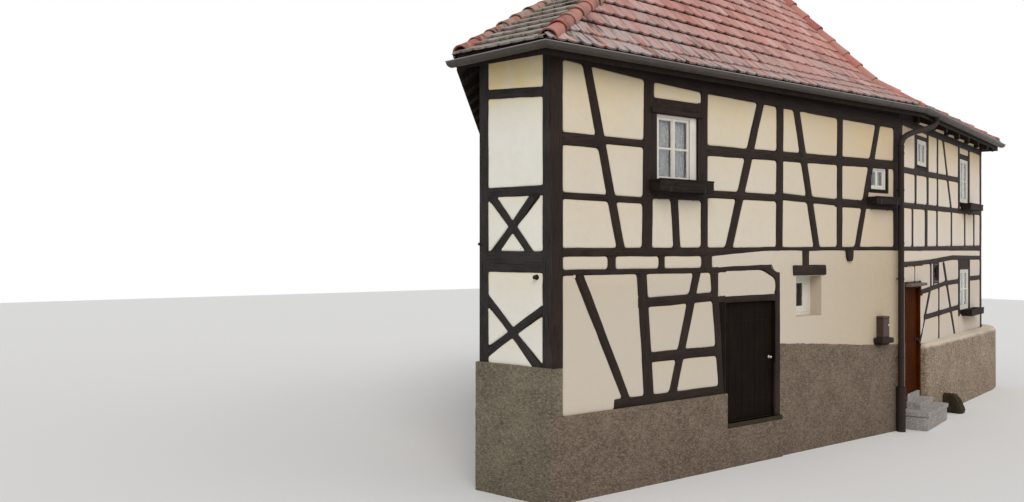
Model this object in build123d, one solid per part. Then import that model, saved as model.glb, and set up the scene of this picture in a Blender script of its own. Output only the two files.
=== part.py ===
from build123d import *
import math
import os

# Half timbered house on a corner plot, in millimetres.
# Origin at the front left wall corner on the lowest ground, +X along the main front,
# +Y into the house, +Z up.

# Plan, as wall corners at the outer face of the timber frame
FRONT_LENGTH = 8740
LEFT_LENGTH = 1300
LEFT_ANGLE = 102
LANE_LENGTH = 7570
LANE_ANGLE = 15
END_LENGTH = 6770
REAR_CORNER = (5670, 8850)

# Levels
GROUND_FLOOR_TOP = 585
PLINTH_TOP_FRONT = 1180
PLINTH_TOP_LEFT = 1850
PLINTH_TOP_LANE = 1500
PLINTH_TOP_REAR = 1180
STOREY_LINE = 3370
STOREY_LINE_RIGHT = 3460
UPPER_FLOOR_TOP = 3400

# Wall make-up
TIMBER_DEPTH = 200
INFILL_INSET = 12
INFILL_THICKNESS = 140
CORNER_POST = 210
MASONRY_THICKNESS = 450
PLINTH_PROUD = 40
PLINTH_SHOULDER = 70
PLINTH_THICKNESS = MASONRY_THICKNESS + PLINTH_PROUD
FLOOR_THICKNESS = 180

# Roof
APEX = (7700, 4150, 10730)
EAVE_HEIGHT = 6265
ATTIC_FLOOR_TOP = EAVE_HEIGHT - 265
WALL_HEAD = EAVE_HEIGHT + 435
PLATE_LINE = EAVE_HEIGHT - 365
EAVE_OVERHANG_FRONT = 220
EAVE_OVERHANG_SIDE = 320
REAR_SKIRT_PITCH = 32
REAR_SKIRT_WIDTH = 770
FLARE_BACK = 665
FLARE_DEPTH = 638
FLARE_RISE = 455
LANE_CREASE_ANGLE = 25
ROOF_THICKNESS = 220
GUTTER_RADIUS = 80
GUTTER_WALL = 6
GUTTER_RIM = EAVE_HEIGHT - 75

# Doors
DOOR_CLEARANCE = 8
LEAF_THICKNESS = 50
LEAF_INSET = 60
HINGE_OFFSET = 22
HINGE_FROM_END = 280
STRAP_SHARE = 0.6
STRAP_HEIGHT = 50
STRAP_THICKNESS = 6
EYE_RADIUS = 13
PIN_RADIUS = 7
PIN_CLEARANCE = 0.5
PINTLE_BLOCK = 25
STABLE_DOOR_LEFT = 3615
STABLE_DOOR_RIGHT = 4890
STABLE_DOOR_SILL = 710
STABLE_DOOR_HEAD = 2620
STABLE_JAMB_RIGHT = 5020
ENTRANCE_LEFT = 600
ENTRANCE_RIGHT = 1500
ENTRANCE_SILL = 600
ENTRANCE_HEAD = 2700
ENTRANCE_JAMB = 110

# Windows
WINDOW_BAR = 45
WINDOW_DEPTH = 60
WINDOW_INSET = 25
LANE_WINDOW_INSET = 8
GROUND_WINDOW_INSET = 220
PANE_THICKNESS = 6
LARGEST_PANE_WIDTH = 500
LARGEST_PANE_HEIGHT = 720
MAIN_WINDOW_BOARD = 120
MAIN_WINDOW_HEAD = 230
MAIN_WINDOW_APRON = 220
SMALL_WINDOW_BOARD = 60

# Sides away from the street
REAR_POST_SPACING = 1500
REAR_POST_WIDTH = 160
REAR_RAIL_WIDTH = 120
REAR_BRACE_WIDTH = 140
REAR_TIMBER_DEPTH = 60


def unit(angle):
    return (math.cos(math.radians(angle)), math.sin(math.radians(angle)))


def walk(point, angle, length):
    dx, dy = unit(angle)
    return (point[0] + dx * length, point[1] + dy * length)


# The six wall corners, anticlockwise seen from above
CORNER_B = (0.0, 0.0)
CORNER_A = walk(CORNER_B, LEFT_ANGLE, LEFT_LENGTH)
CORNER_C = (float(FRONT_LENGTH), 0.0)
CORNER_D = walk(CORNER_C, LANE_ANGLE, LANE_LENGTH)
CORNER_F = walk(CORNER_D, LANE_ANGLE + 90, END_LENGTH)
CORNER_E = (float(REAR_CORNER[0]), float(REAR_CORNER[1]))
CORNERS = [CORNER_A, CORNER_B, CORNER_C, CORNER_D, CORNER_F, CORNER_E]
LEFT, FRONT, LANE, END, REAR, REAR_LEFT = range(6)


def wall_angle(wall):
    x0, y0 = CORNERS[wall]
    x1, y1 = CORNERS[(wall + 1) % 6]
    return math.degrees(math.atan2(y1 - y0, x1 - x0))


def wall_length(wall):
    x0, y0 = CORNERS[wall]
    x1, y1 = CORNERS[(wall + 1) % 6]
    return math.hypot(x1 - x0, y1 - y0)


def on_wall(wall, along, inward):
    """Plan point at a distance along a wall and inward from its outer face."""
    angle = wall_angle(wall)
    return walk(walk(CORNERS[wall], angle, along), angle + 90, inward)


def place(wall, shape):
    """Moves a solid from the wall's own frame (along, inward, up) to the house frame."""
    x, y = CORNERS[wall]
    return Location((x, y, 0), (0, 0, wall_angle(wall))) * shape


def corner_offset(corner, inward):
    """Plan point where the two walls at a corner meet, both moved inward."""
    return corner_offsets(corner, inward, inward)


def corner_offsets(corner, before, after):
    """Plan point where the wall before and the wall after a corner meet, each moved inward."""
    a1 = wall_angle((corner - 1) % 6)
    a2 = wall_angle(corner)
    p1 = walk(CORNERS[corner], a1 + 90, before)
    p2 = walk(CORNERS[corner], a2 + 90, after)
    d1 = unit(a1)
    d2 = unit(a2)
    det = d1[0] * d2[1] - d1[1] * d2[0]
    k = ((p2[0] - p1[0]) * d2[1] - (p2[1] - p1[1]) * d2[0]) / det
    return (p1[0] + d1[0] * k, p1[1] + d1[1] * k)


def prism(points, low, high):
    """Upright solid over a plan outline."""
    face = make_face(Polyline(*[(x, y, low) for x, y in points], close=True))
    return extrude(face, amount=high - low, dir=(0, 0, 1))


def panel(points, front, back):
    """Solid over an outline (along, up) in a wall's own frame, between two depths."""
    face = make_face(Polyline(*[(s, front, z) for s, z in points], close=True))
    return extrude(face, amount=back - front, dir=(0, 1, 0))


def rect(s0, z0, s1, z1):
    return [(s0, z0), (s1, z0), (s1, z1), (s0, z1)]


def bar(s0, z0, s1, z1, width):
    """Outline of a straight timber in the wall plane, extended past both ends by its width."""
    length = math.hypot(s1 - s0, z1 - z0)
    ux = (s1 - s0) / length
    uz = (z1 - z0) / length
    nx = -uz * width / 2
    nz = ux * width / 2
    s0, z0 = s0 - ux * width, z0 - uz * width
    s1, z1 = s1 + ux * width, z1 + uz * width
    return [(s0 + nx, z0 + nz), (s0 - nx, z0 - nz), (s1 - nx, z1 - nz), (s1 + nx, z1 + nz)]


def fuse(shapes):
    result = shapes[0]
    for shape in shapes[1:]:
        result = result + shape
    return result


def lattice(outlines, field, depth=TIMBER_DEPTH):
    """Timbers of one wall field, fused where they cross and cut off at the field's edge."""
    bars = fuse([panel(outline, 0, depth) for outline in outlines])
    return bars & panel(field, 0, depth)


def infill(field, frame, holes=()):
    """Rendered panels that fill a field between its timbers."""
    body = panel(field, INFILL_INSET, INFILL_INSET + INFILL_THICKNESS) - frame
    for hole in holes:
        body = body - panel(hole, 0, TIMBER_DEPTH)
    return body


# Roof geometry: planes as z = a x + b y + c


def plane_through(p, q, r):
    ux, uy, uz = q[0] - p[0], q[1] - p[1], q[2] - p[2]
    vx, vy, vz = r[0] - p[0], r[1] - p[1], r[2] - p[2]
    nx = uy * vz - uz * vy
    ny = uz * vx - ux * vz
    nz = ux * vy - uy * vx
    a = -nx / nz
    b = -ny / nz
    return (a, b, p[2] - a * p[0] - b * p[1])


def plane_from(point, angle, pitch):
    """Plane that is level along an angle and rises to the left of it."""
    dx, dy = unit(angle + 90)
    rise = math.tan(math.radians(pitch))
    a = dx * rise
    b = dy * rise
    return (a, b, point[2] - a * point[0] - b * point[1])


def meet(p, q, r):
    """Point shared by three planes."""
    a1, b1, c1 = p[0] - q[0], p[1] - q[1], q[2] - p[2]
    a2, b2, c2 = p[0] - r[0], p[1] - r[1], r[2] - p[2]
    det = a1 * b2 - a2 * b1
    x = (c1 * b2 - c2 * b1) / det
    y = (a1 * c2 - a2 * c1) / det
    return (x, y, p[0] * x + p[1] * y + p[2])


OVERHANGS = {LEFT: EAVE_OVERHANG_SIDE, FRONT: EAVE_OVERHANG_FRONT, LANE: EAVE_OVERHANG_SIDE,
             END: EAVE_OVERHANG_SIDE, REAR: EAVE_OVERHANG_FRONT, REAR_LEFT: EAVE_OVERHANG_SIDE}


def eave_corner(corner, extra=0):
    """Corner of the eave line, or of a line outside it by an extra distance."""
    before = OVERHANGS[(corner - 1) % 6] + extra
    after = OVERHANGS[corner] + extra
    return corner_offsets(corner, -before, -after)


def lift(point, z):
    return (point[0], point[1], z)


EAVES = [lift(eave_corner(i), EAVE_HEIGHT) for i in range(6)]
EAVE_A, EAVE_B, EAVE_C, EAVE_D, EAVE_F, EAVE_E = EAVES


def crease_plane(wall):
    """Upper roof plane over the crease line of a bell-cast eave."""
    angle = wall_angle(wall)
    height = EAVE_HEIGHT + REAR_SKIRT_WIDTH * math.tan(math.radians(REAR_SKIRT_PITCH))
    start = walk(EAVES[wall], angle + 90, REAR_SKIRT_WIDTH)
    stop = walk(start, angle, 1000)
    return plane_through(lift(start, height), lift(stop, height), APEX)


# The front flares out towards its right corner only, so its crease starts at the left eave corner
CREASE_C = (EAVE_C[0] - FLARE_BACK, EAVE_C[1] + FLARE_DEPTH, EAVE_HEIGHT + FLARE_RISE)
LANE_SKIRT = plane_through(EAVE_C, EAVE_D, CREASE_C)
LANE_UPPER = plane_through(CREASE_C, lift(walk(CREASE_C, LANE_CREASE_ANGLE, 1000), CREASE_C[2]), APEX)
END_PLANE = plane_through(EAVE_D, EAVE_F, APEX)
CREASE_D = meet(LANE_SKIRT, LANE_UPPER, END_PLANE)
REAR_SKIRT = plane_from(EAVE_F, wall_angle(REAR), REAR_SKIRT_PITCH)
REAR_UPPER = crease_plane(REAR)
REAR_LEFT_PLANE = plane_through(EAVE_E, EAVE_A, APEX)
CREASE_F = meet(REAR_SKIRT, REAR_UPPER, END_PLANE)
CREASE_E = meet(REAR_SKIRT, REAR_UPPER, REAR_LEFT_PLANE)

ROOF_FACES = {
    "roof_left": [[EAVE_A, EAVE_B, APEX]],
    "roof_front": [[EAVE_B, EAVE_C, CREASE_C], [EAVE_B, CREASE_C, APEX]],
    "roof_lane": [[EAVE_C, EAVE_D, CREASE_D, CREASE_C], [CREASE_C, CREASE_D, APEX]],
    "roof_end": [[EAVE_D, EAVE_F, CREASE_F, APEX, CREASE_D]],
    "roof_rear": [[EAVE_F, EAVE_E, CREASE_E, CREASE_F], [CREASE_F, CREASE_E, APEX]],
    "roof_rear_left": [[EAVE_E, EAVE_A, APEX, CREASE_E]],
}


def roof_solid(points, drop, height):
    """Solid over a roof face that is moved down by a drop and extruded upright."""
    face = make_face(Polyline(*[(x, y, z - drop) for x, y, z in points], close=True))
    return extrude(face, amount=height, dir=(0, 0, 1))


def roof_part(name):
    return fuse([roof_solid(points, ROOF_THICKNESS, ROOF_THICKNESS) for points in ROOF_FACES[name]])


ABOVE_ROOF = [roof_solid(points, ROOF_THICKNESS, 2000) for faces in ROOF_FACES.values() for points in faces]


def under_roof(shape):
    """Cuts a shape off along the underside of the roof."""
    box = shape.bounding_box()
    if box.max.Z < EAVE_HEIGHT - 2 * ROOF_THICKNESS:
        return shape
    for cutter in ABOVE_ROOF:
        if cutter.bounding_box().overlaps(box):
            shape = shape - cutter
    return shape


def corner_outline(corner, before, after, depth_before, depth_after):
    """Plan outline that wraps a corner by a length on each wall and a depth on each."""
    previous = (corner - 1) % 6
    length = wall_length(previous)
    return [CORNERS[corner],
            on_wall(corner, after, 0),
            on_wall(corner, after, depth_after),
            corner_offsets(corner, depth_before, depth_after),
            on_wall(previous, length - before, depth_before),
            on_wall(previous, length - before, 0)]


def corner_post(corner, low, high):
    outline = corner_outline(corner, CORNER_POST, CORNER_POST, TIMBER_DEPTH, TIMBER_DEPTH)
    return under_roof(prism(outline, low, high))


# Plinths and masonry


def mitred_strip(wall, high, proud):
    """Strip of plinth under a whole wall, mitred at both corners."""
    inner = PLINTH_THICKNESS - proud
    nxt = (wall + 1) % 6
    outline = [corner_offset(wall, -proud), corner_offset(nxt, -proud),
               corner_offset(nxt, inner), corner_offset(wall, inner)]
    return prism(outline, 0, high)


def plinth_left():
    """High base of the short left wall, with blocks under both of its corner posts."""
    blocks = [prism(corner_outline(c, CORNER_POST, CORNER_POST, TIMBER_DEPTH, TIMBER_DEPTH),
                    PLINTH_TOP_FRONT, PLINTH_TOP_LEFT) for c in (LEFT, FRONT)]
    return fuse([mitred_strip(LEFT, PLINTH_TOP_LEFT, PLINTH_PROUD)] + blocks)


def plinth_front():
    """Rough stone base left of the stable door."""
    inner = PLINTH_THICKNESS - PLINTH_PROUD
    outline = [corner_offset(FRONT, -PLINTH_PROUD), on_wall(FRONT, STABLE_DOOR_LEFT, -PLINTH_PROUD),
               on_wall(FRONT, STABLE_DOOR_LEFT, inner), corner_offset(FRONT, inner)]
    return prism(outline, 0, PLINTH_TOP_FRONT)


def plinth_door():
    """Base and stone threshold under the stable door."""
    inner = PLINTH_THICKNESS - PLINTH_PROUD
    outline = [on_wall(FRONT, STABLE_DOOR_LEFT, -PLINTH_PROUD),
               on_wall(FRONT, STABLE_JAMB_RIGHT, -PLINTH_PROUD),
               on_wall(FRONT, STABLE_JAMB_RIGHT, inner),
               on_wall(FRONT, STABLE_DOOR_LEFT, inner)]
    return prism(outline, 0, STABLE_DOOR_SILL - DOOR_CLEARANCE)


MASONRY_CORNER_RETURN = 370
GROUND_WINDOW = (5470, 2320, 6200, 3020)


def masonry_front():
    """Thick rendered wall right of the stable door, with the deep reveal of its window."""
    outline = corner_outline(LANE, FRONT_LENGTH - STABLE_JAMB_RIGHT, MASONRY_CORNER_RETURN,
                             MASONRY_THICKNESS, MASONRY_THICKNESS)
    body = prism(outline, 0, STOREY_LINE_RIGHT)
    hole = place(FRONT, panel(rect(*GROUND_WINDOW), 0, MASONRY_THICKNESS))
    return body - hole


END_RETURN = MASONRY_THICKNESS


def outside_lane(edge):
    """How far the middle of an edge lies outside the lane wall."""
    x, y = unit(wall_angle(LANE) + 90)
    middle = edge @ 0.5
    return (CORNER_C[0] - middle.X) * x + (CORNER_C[1] - middle.Y) * y


def plinth_lane():
    """Bulging rendered stone base along the lane, thicker towards the far corner."""
    start = ENTRANCE_RIGHT + ENTRANCE_JAMB
    inner = PLINTH_THICKNESS - PLINTH_PROUD
    outline = [on_wall(LANE, start, 0), on_wall(LANE, start, -120), on_wall(LANE, 3000, -200),
               on_wall(LANE, 5200, -300), on_wall(LANE, 7000, -380), on_wall(LANE, 7650, -320),
               on_wall(LANE, 7950, -80), on_wall(LANE, 7950, 300),
               on_wall(END, END_RETURN, -PLINTH_PROUD), on_wall(END, END_RETURN, inner),
               on_wall(LANE, start, inner)]
    body = prism(outline, 0, PLINTH_TOP_LANE)
    shoulder = [edge for edge in body.edges().filter_by_position(Axis.Z, PLINTH_TOP_LANE - 1, PLINTH_TOP_LANE + 1)
                if outside_lane(edge) > PLINTH_SHOULDER]
    return chamfer(shoulder, PLINTH_SHOULDER)


def plinth_entrance():
    """Base and threshold under the entrance door."""
    start = MASONRY_CORNER_RETURN
    stop = ENTRANCE_RIGHT + ENTRANCE_JAMB
    outline = [on_wall(LANE, start, 0), on_wall(LANE, stop, 0),
               on_wall(LANE, stop, PLINTH_THICKNESS - PLINTH_PROUD),
               on_wall(LANE, start, PLINTH_THICKNESS - PLINTH_PROUD)]
    return prism(outline, 0, ENTRANCE_SILL - DOOR_CLEARANCE)


def plinth_rear():
    inner = PLINTH_THICKNESS - PLINTH_PROUD
    outline = [on_wall(END, END_RETURN, -PLINTH_PROUD), corner_offset(REAR, -PLINTH_PROUD),
               corner_offset(REAR_LEFT, -PLINTH_PROUD), corner_offset(LEFT, -PLINTH_PROUD),
               corner_offset(LEFT, inner), corner_offset(REAR_LEFT, inner),
               corner_offset(REAR, inner), on_wall(END, END_RETURN, inner)]
    return prism(outline, 0, PLINTH_TOP_REAR)


# Timber frames


def fields(wall, low, high, start=CORNER_POST):
    """Outline of one storey of a wall between its corner posts."""
    return rect(start, low, wall_length(wall) - CORNER_POST, high)


STOREY_KINK_START = 3290
STOREY_KINK_END = 4780


def storey_line(along):
    """Underside of the front's storey beam, which steps up gently over the stable door."""
    share = (along - STOREY_KINK_START) / (STOREY_KINK_END - STOREY_KINK_START)
    return STOREY_LINE + min(max(share, 0), 1) * (STOREY_LINE_RIGHT - STOREY_LINE)


FRONT_UPPER_FIELD = [(CORNER_POST, STOREY_LINE), (STOREY_KINK_START, STOREY_LINE),
                     (STOREY_KINK_END, STOREY_LINE_RIGHT),
                     (FRONT_LENGTH - CORNER_POST, STOREY_LINE_RIGHT),
                     (FRONT_LENGTH - CORNER_POST, WALL_HEAD), (CORNER_POST, WALL_HEAD)]
MAIN_WINDOW = (2050, 4450, 2955, 5500)
SMALL_WINDOW = (FRONT_LENGTH - 980, 4600, FRONT_LENGTH - 450, 5010)


def front_upper_timbers():
    sill_top = 3490
    right = FRONT_LENGTH - CORNER_POST
    plate = [(CORNER_POST, EAVE_HEIGHT - 195), (1845, EAVE_HEIGHT - 300), (3110, EAVE_HEIGHT - 358),
             (6745, EAVE_HEIGHT - 445), (right, EAVE_HEIGHT - 470), (right, WALL_HEAD),
             (CORNER_POST, WALL_HEAD)]
    sill = [(CORNER_POST, STOREY_LINE), (STOREY_KINK_START, STOREY_LINE), (STOREY_KINK_END, STOREY_LINE_RIGHT),
            (right, STOREY_LINE_RIGHT), (right, 3530), (CORNER_POST, sill_top)]
    # Uprights and braces: position at the sill, position at the plate, width
    uprights = [(1310, 665, 160), (1845, 1890, 210), (3110, 3110, 160), (3695, 4540, 180),
                (5000, 5020, 185), (6065, 5440, 180), (6745, 6765, 170), (7300, 8050, 160)]
    # Rails: start, height there, end, height there, width
    rails = [(CORNER_POST, 4990, 900, 4990, 180), (900, 5025, 1850, 5025, 110),
             (3110, 5020, right, 5095, 165), (CORNER_POST, 4210, 1850, 4190, 95),
             (3110, 4340, 5000, 4340, 120), (5000, 4370, 6750, 4315, 115),
             (6750, 4315, right, 4300, 150)]
    outlines = [plate, sill]
    outlines += [bar(s0, sill_top, s1, ATTIC_FLOOR_TOP, width) for s0, s1, width in uprights]
    outlines += [rect(min(s0, s1), z0 - w / 2, max(s0, s1), z1 + w / 2) if z0 == z1
                 else bar(s0, z0, s1, z1, w) for s0, z0, s1, z1, w in rails]
    s0, z0, s1, z1 = MAIN_WINDOW
    low = z0 - MAIN_WINDOW_APRON
    high = z1 + MAIN_WINDOW_HEAD
    outlines += [rect(s0 - MAIN_WINDOW_BOARD, low, s0, high), rect(s1, low, s1 + MAIN_WINDOW_BOARD, high),
                 rect(s0, z1, s1, high), rect(s0, low, s1, z0)]
    outlines.append(bar(2490, sill_top, 2425, low, 155))
    s0, z0, s1, z1 = SMALL_WINDOW
    outlines.append(rect(s0 - SMALL_WINDOW_BOARD, z0 - SMALL_WINDOW_BOARD,
                         s1 + SMALL_WINDOW_BOARD, z1 + SMALL_WINDOW_BOARD))
    return outlines


def cut_windows(frame, windows):
    for window in windows:
        frame = frame - panel(rect(*window), -50, TIMBER_DEPTH)
    return frame


def frame_front_upper():
    windows = [MAIN_WINDOW, SMALL_WINDOW]
    frame = cut_windows(lattice(front_upper_timbers(), FRONT_UPPER_FIELD), windows)
    fill = infill(FRONT_UPPER_FIELD, frame, [rect(*w) for w in windows])
    return under_roof(place(FRONT, frame)), under_roof(place(FRONT, fill))


PLATE_LOW = 3110
PLATE_HIGH = 3190
POST_B_LEFT_TOP = 3240
POST_B_LEFT_FOOT = 3460
DOOR_POST_HEAD = 3440
DOOR_PANEL_LOW = STABLE_DOOR_HEAD + 110
KNEE_LEFT = 4500
KNEE_RIGHT = 4780
JAMB_TOP = 3090
FRONT_LOWER_FIELD = [(CORNER_POST, PLINTH_TOP_FRONT), (STABLE_DOOR_LEFT, PLINTH_TOP_FRONT),
                     (STABLE_DOOR_LEFT, storey_line(STABLE_DOOR_LEFT)), (STOREY_KINK_START, STOREY_LINE),
                     (CORNER_POST, STOREY_LINE)]


def front_lower_timbers():
    sill = rect(1180, PLINTH_TOP_FRONT, STABLE_DOOR_LEFT, 1320)
    plate = rect(CORNER_POST, PLATE_LOW, STABLE_DOOR_LEFT, PLATE_HIGH)
    joist_ends = [rect(s0, PLATE_HIGH, s1, STOREY_LINE) for s0, s1 in ((1050, 1210), (2090, 2220), (3040, 3290))]
    door_post = [(POST_B_LEFT_TOP, PLATE_HIGH), (POST_B_LEFT_FOOT, PLINTH_TOP_FRONT),
                 (STABLE_DOOR_LEFT, PLINTH_TOP_FRONT), (STABLE_DOOR_LEFT, DOOR_PANEL_LOW),
                 (DOOR_POST_HEAD, DOOR_PANEL_LOW), (DOOR_POST_HEAD, PLATE_HIGH)]
    uprights = [bar(1430, 1290, 545, 3000, 140), bar(1885, 1300, 1748, 2950, 205),
                bar(2400, 1310, 2900, 2990, 165)]
    rails = [bar(1800, 2690, 3300, 2730, 140), rect(1850, 1800, 3450, 1950)]
    return [sill, plate, door_post] + joist_ends + uprights + rails


def frame_front_lower():
    frame = lattice(front_lower_timbers(), FRONT_LOWER_FIELD)
    fill = infill(FRONT_LOWER_FIELD, frame)
    return place(FRONT, frame), place(FRONT, fill)


def stable_door_frame():
    """Right jamb, head, plate and knee over the stable door."""
    jamb = rect(STABLE_DOOR_RIGHT, STABLE_DOOR_SILL - DOOR_CLEARANCE, STABLE_JAMB_RIGHT, JAMB_TOP)
    head = rect(STABLE_DOOR_LEFT, STABLE_DOOR_HEAD, STABLE_DOOR_RIGHT, DOOR_PANEL_LOW)
    plate = [(STABLE_DOOR_LEFT, PLATE_LOW), (KNEE_LEFT, PLATE_LOW + 25), (STABLE_DOOR_RIGHT, JAMB_TOP - 100),
             (STABLE_DOOR_RIGHT, JAMB_TOP), (KNEE_RIGHT, JAMB_TOP + 50), (KNEE_RIGHT, PLATE_HIGH + 35),
             (STABLE_DOOR_LEFT, PLATE_HIGH)]
    return [place(FRONT, panel(outline, 0, TIMBER_DEPTH)) for outline in (jamb, head, plate)]


def stable_door_infill():
    """Panel under the plate, and the masonry's render that runs on above the jamb."""
    low = [(STABLE_DOOR_LEFT, DOOR_PANEL_LOW), (STABLE_DOOR_RIGHT, DOOR_PANEL_LOW),
           (STABLE_DOOR_RIGHT, JAMB_TOP - 100), (KNEE_LEFT, PLATE_LOW + 25), (STABLE_DOOR_LEFT, PLATE_LOW)]
    high = [(STABLE_DOOR_LEFT, PLATE_HIGH), (KNEE_RIGHT, PLATE_HIGH + 35), (KNEE_RIGHT, JAMB_TOP + 50),
            (STABLE_DOOR_RIGHT, JAMB_TOP), (STABLE_JAMB_RIGHT, JAMB_TOP), (STABLE_JAMB_RIGHT, STOREY_LINE_RIGHT),
            (STOREY_KINK_END, STOREY_LINE_RIGHT), (STABLE_DOOR_LEFT, storey_line(STABLE_DOOR_LEFT))]
    return [place(FRONT, panel(outline, INFILL_INSET, INFILL_INSET + INFILL_THICKNESS))
            for outline in (low, high)]


def left_timbers(low):
    length = wall_length(LEFT)
    start = CORNER_POST
    stop = length - CORNER_POST
    if low:
        plate = rect(start, STOREY_LINE - 150, stop, STOREY_LINE)
        cross = [bar(length - 1180, 2820, length - 210, 1820, 120),
                 bar(length - 1130, 1990, length - 160, 2660, 120)]
        return [plate, rect(start, 3150, stop, 3230)] + cross
    rails = [rect(start, STOREY_LINE, stop, 3450), rect(start, 4210, stop, 4350),
             rect(start, PLATE_LINE - 310, stop, PLATE_LINE - 170)]
    cross = [bar(length - 1030, 4190, length - 320, 3380, 120), bar(length - 990, 3440, length - 340, 4170, 120)]
    return rails + cross + [rect(start, EAVE_HEIGHT - 145, stop, WALL_HEAD)]


def frame_left():
    frames = []
    fills = []
    for low, z0, z1 in ((True, PLINTH_TOP_LEFT, STOREY_LINE), (False, STOREY_LINE, WALL_HEAD)):
        field = fields(LEFT, z0, z1)
        frame = lattice(left_timbers(low), field)
        fills.append(under_roof(place(LEFT, infill(field, frame))))
        frames.append(under_roof(place(LEFT, frame)))
    return frames, fills


LANE_WINDOW_SMALL = (1290, PLATE_LINE - 700, 2050, PLATE_LINE - 160)
LANE_WINDOW_TALL = (5130, PLATE_LINE - 1300, 6020, PLATE_LINE - 260)
LANE_WINDOW_SLIT = (2680, 2790, 3060, 3160)
LANE_WINDOW_GROUND = (5130, 2050, 6080, 3010)


def lane_upper_timbers():
    stop = LANE_LENGTH - CORNER_POST
    sill = [(CORNER_POST, STOREY_LINE_RIGHT), (stop, STOREY_LINE_RIGHT), (stop, 3590), (CORNER_POST, 3530)]
    plate = rect(CORNER_POST, PLATE_LINE, stop, WALL_HEAD)
    rails = [bar(CORNER_POST, 5030, 5000, 5120, 120), bar(CORNER_POST, 4345, stop, 4420, 110)]
    posts = [rect(s - w / 2, 4350, s + w / 2, PLATE_LINE + 50)
             for s, w in ((1180, 150), (2140, 160), (2990, 130), (5040, 180), (6110, 180))]
    studs = [rect(s - w / 2, 3500, s + w / 2, 4400)
             for s, w in ((950, 130), (2020, 220), (2950, 130), (4290, 140), (5660, 140), (6680, 140))]
    brace = bar(3500, PLATE_LINE, 4250, 4420, 150)
    small_low, small_high = LANE_WINDOW_SMALL[1], LANE_WINDOW_SMALL[3]
    tall_low, tall_high = LANE_WINDOW_TALL[1], LANE_WINDOW_TALL[3]
    heads = [rect(1180, small_high, 2140, small_high + 80), rect(1180, small_low - 100, 2140, small_low),
             rect(5040, tall_high, 6110, tall_high + 120), rect(5040, tall_low - 100, 6110, tall_low)]
    return [sill, plate, brace] + rails + posts + studs + heads


def frame_lane_upper():
    field = fields(LANE, STOREY_LINE_RIGHT, WALL_HEAD)
    windows = [LANE_WINDOW_SMALL, LANE_WINDOW_TALL]
    frame = cut_windows(lattice(lane_upper_timbers(), field), windows)
    fill = infill(field, frame, [rect(*w) for w in windows])
    return under_roof(place(LANE, frame)), under_roof(place(LANE, fill))


def lane_lower_timbers():
    start = ENTRANCE_RIGHT + ENTRANCE_JAMB
    stop = LANE_LENGTH - CORNER_POST
    beam = [(start, 3160), (2350, 3175), (4360, 3245), (stop, 3230), (stop, 3325), (4360, 3350),
            (2350, 3270), (start, 3250)]
    rails = [bar(start, 2600, 3690, 2725, 100), bar(3690, 2725, 5050, 2740, 105),
             bar(1900, 2065, 5050, 2130, 110)]
    posts = [rect(2340, 2700, 2480, 3200), rect(3060, PLINTH_TOP_LANE, 3160, 2700),
             rect(4960, PLINTH_TOP_LANE, 5130, 3300), rect(6080, PLINTH_TOP_LANE, 6230, 3300),
             rect(6230, 2720, stop, 2830), rect(2600, 2700, 2680, 3200), rect(3060, 2700, 3120, 3200)]
    braces = [bar(3570, 3110, 4620, PLINTH_TOP_LANE, 140), bar(2310, 2560, 1500, 1580, 130)]
    heads = [rect(5050, 3010, 6200, 3300), rect(5050, 1950, 6200, 2050), rect(start, 1500, start + 130, 3200)]
    return [beam] + rails + posts + braces + heads


def frame_lane_lower():
    start = ENTRANCE_RIGHT + ENTRANCE_JAMB
    field = fields(LANE, PLINTH_TOP_LANE, STOREY_LINE_RIGHT, start)
    windows = [LANE_WINDOW_SLIT, LANE_WINDOW_GROUND]
    frame = cut_windows(lattice(lane_lower_timbers(), field), windows)
    fill = infill(field, frame, [rect(*w) for w in windows])
    return place(LANE, frame), place(LANE, fill)


def entrance_frame():
    """Jambs and head of the entrance door, with the beam above."""
    low = ENTRANCE_SILL - DOOR_CLEARANCE
    left = panel(rect(MASONRY_CORNER_RETURN, low, ENTRANCE_LEFT, STOREY_LINE_RIGHT), 0, TIMBER_DEPTH)
    right = panel(rect(ENTRANCE_RIGHT, low, ENTRANCE_RIGHT + ENTRANCE_JAMB, STOREY_LINE_RIGHT), 0, TIMBER_DEPTH)
    head = panel(rect(ENTRANCE_LEFT, ENTRANCE_HEAD, ENTRANCE_RIGHT, ENTRANCE_HEAD + 120), 0, TIMBER_DEPTH)
    beam = panel(rect(ENTRANCE_LEFT, 3150, ENTRANCE_RIGHT, 3250), 0, TIMBER_DEPTH)
    return [place(LANE, piece) for piece in (left, right, head, beam)]


def entrance_infill():
    low = panel(rect(ENTRANCE_LEFT, ENTRANCE_HEAD + 120, ENTRANCE_RIGHT, 3150),
                INFILL_INSET, INFILL_INSET + INFILL_THICKNESS)
    high = panel(rect(ENTRANCE_LEFT, 3250, ENTRANCE_RIGHT, STOREY_LINE_RIGHT),
                 INFILL_INSET, INFILL_INSET + INFILL_THICKNESS)
    return [place(LANE, low), place(LANE, high)]


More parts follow.
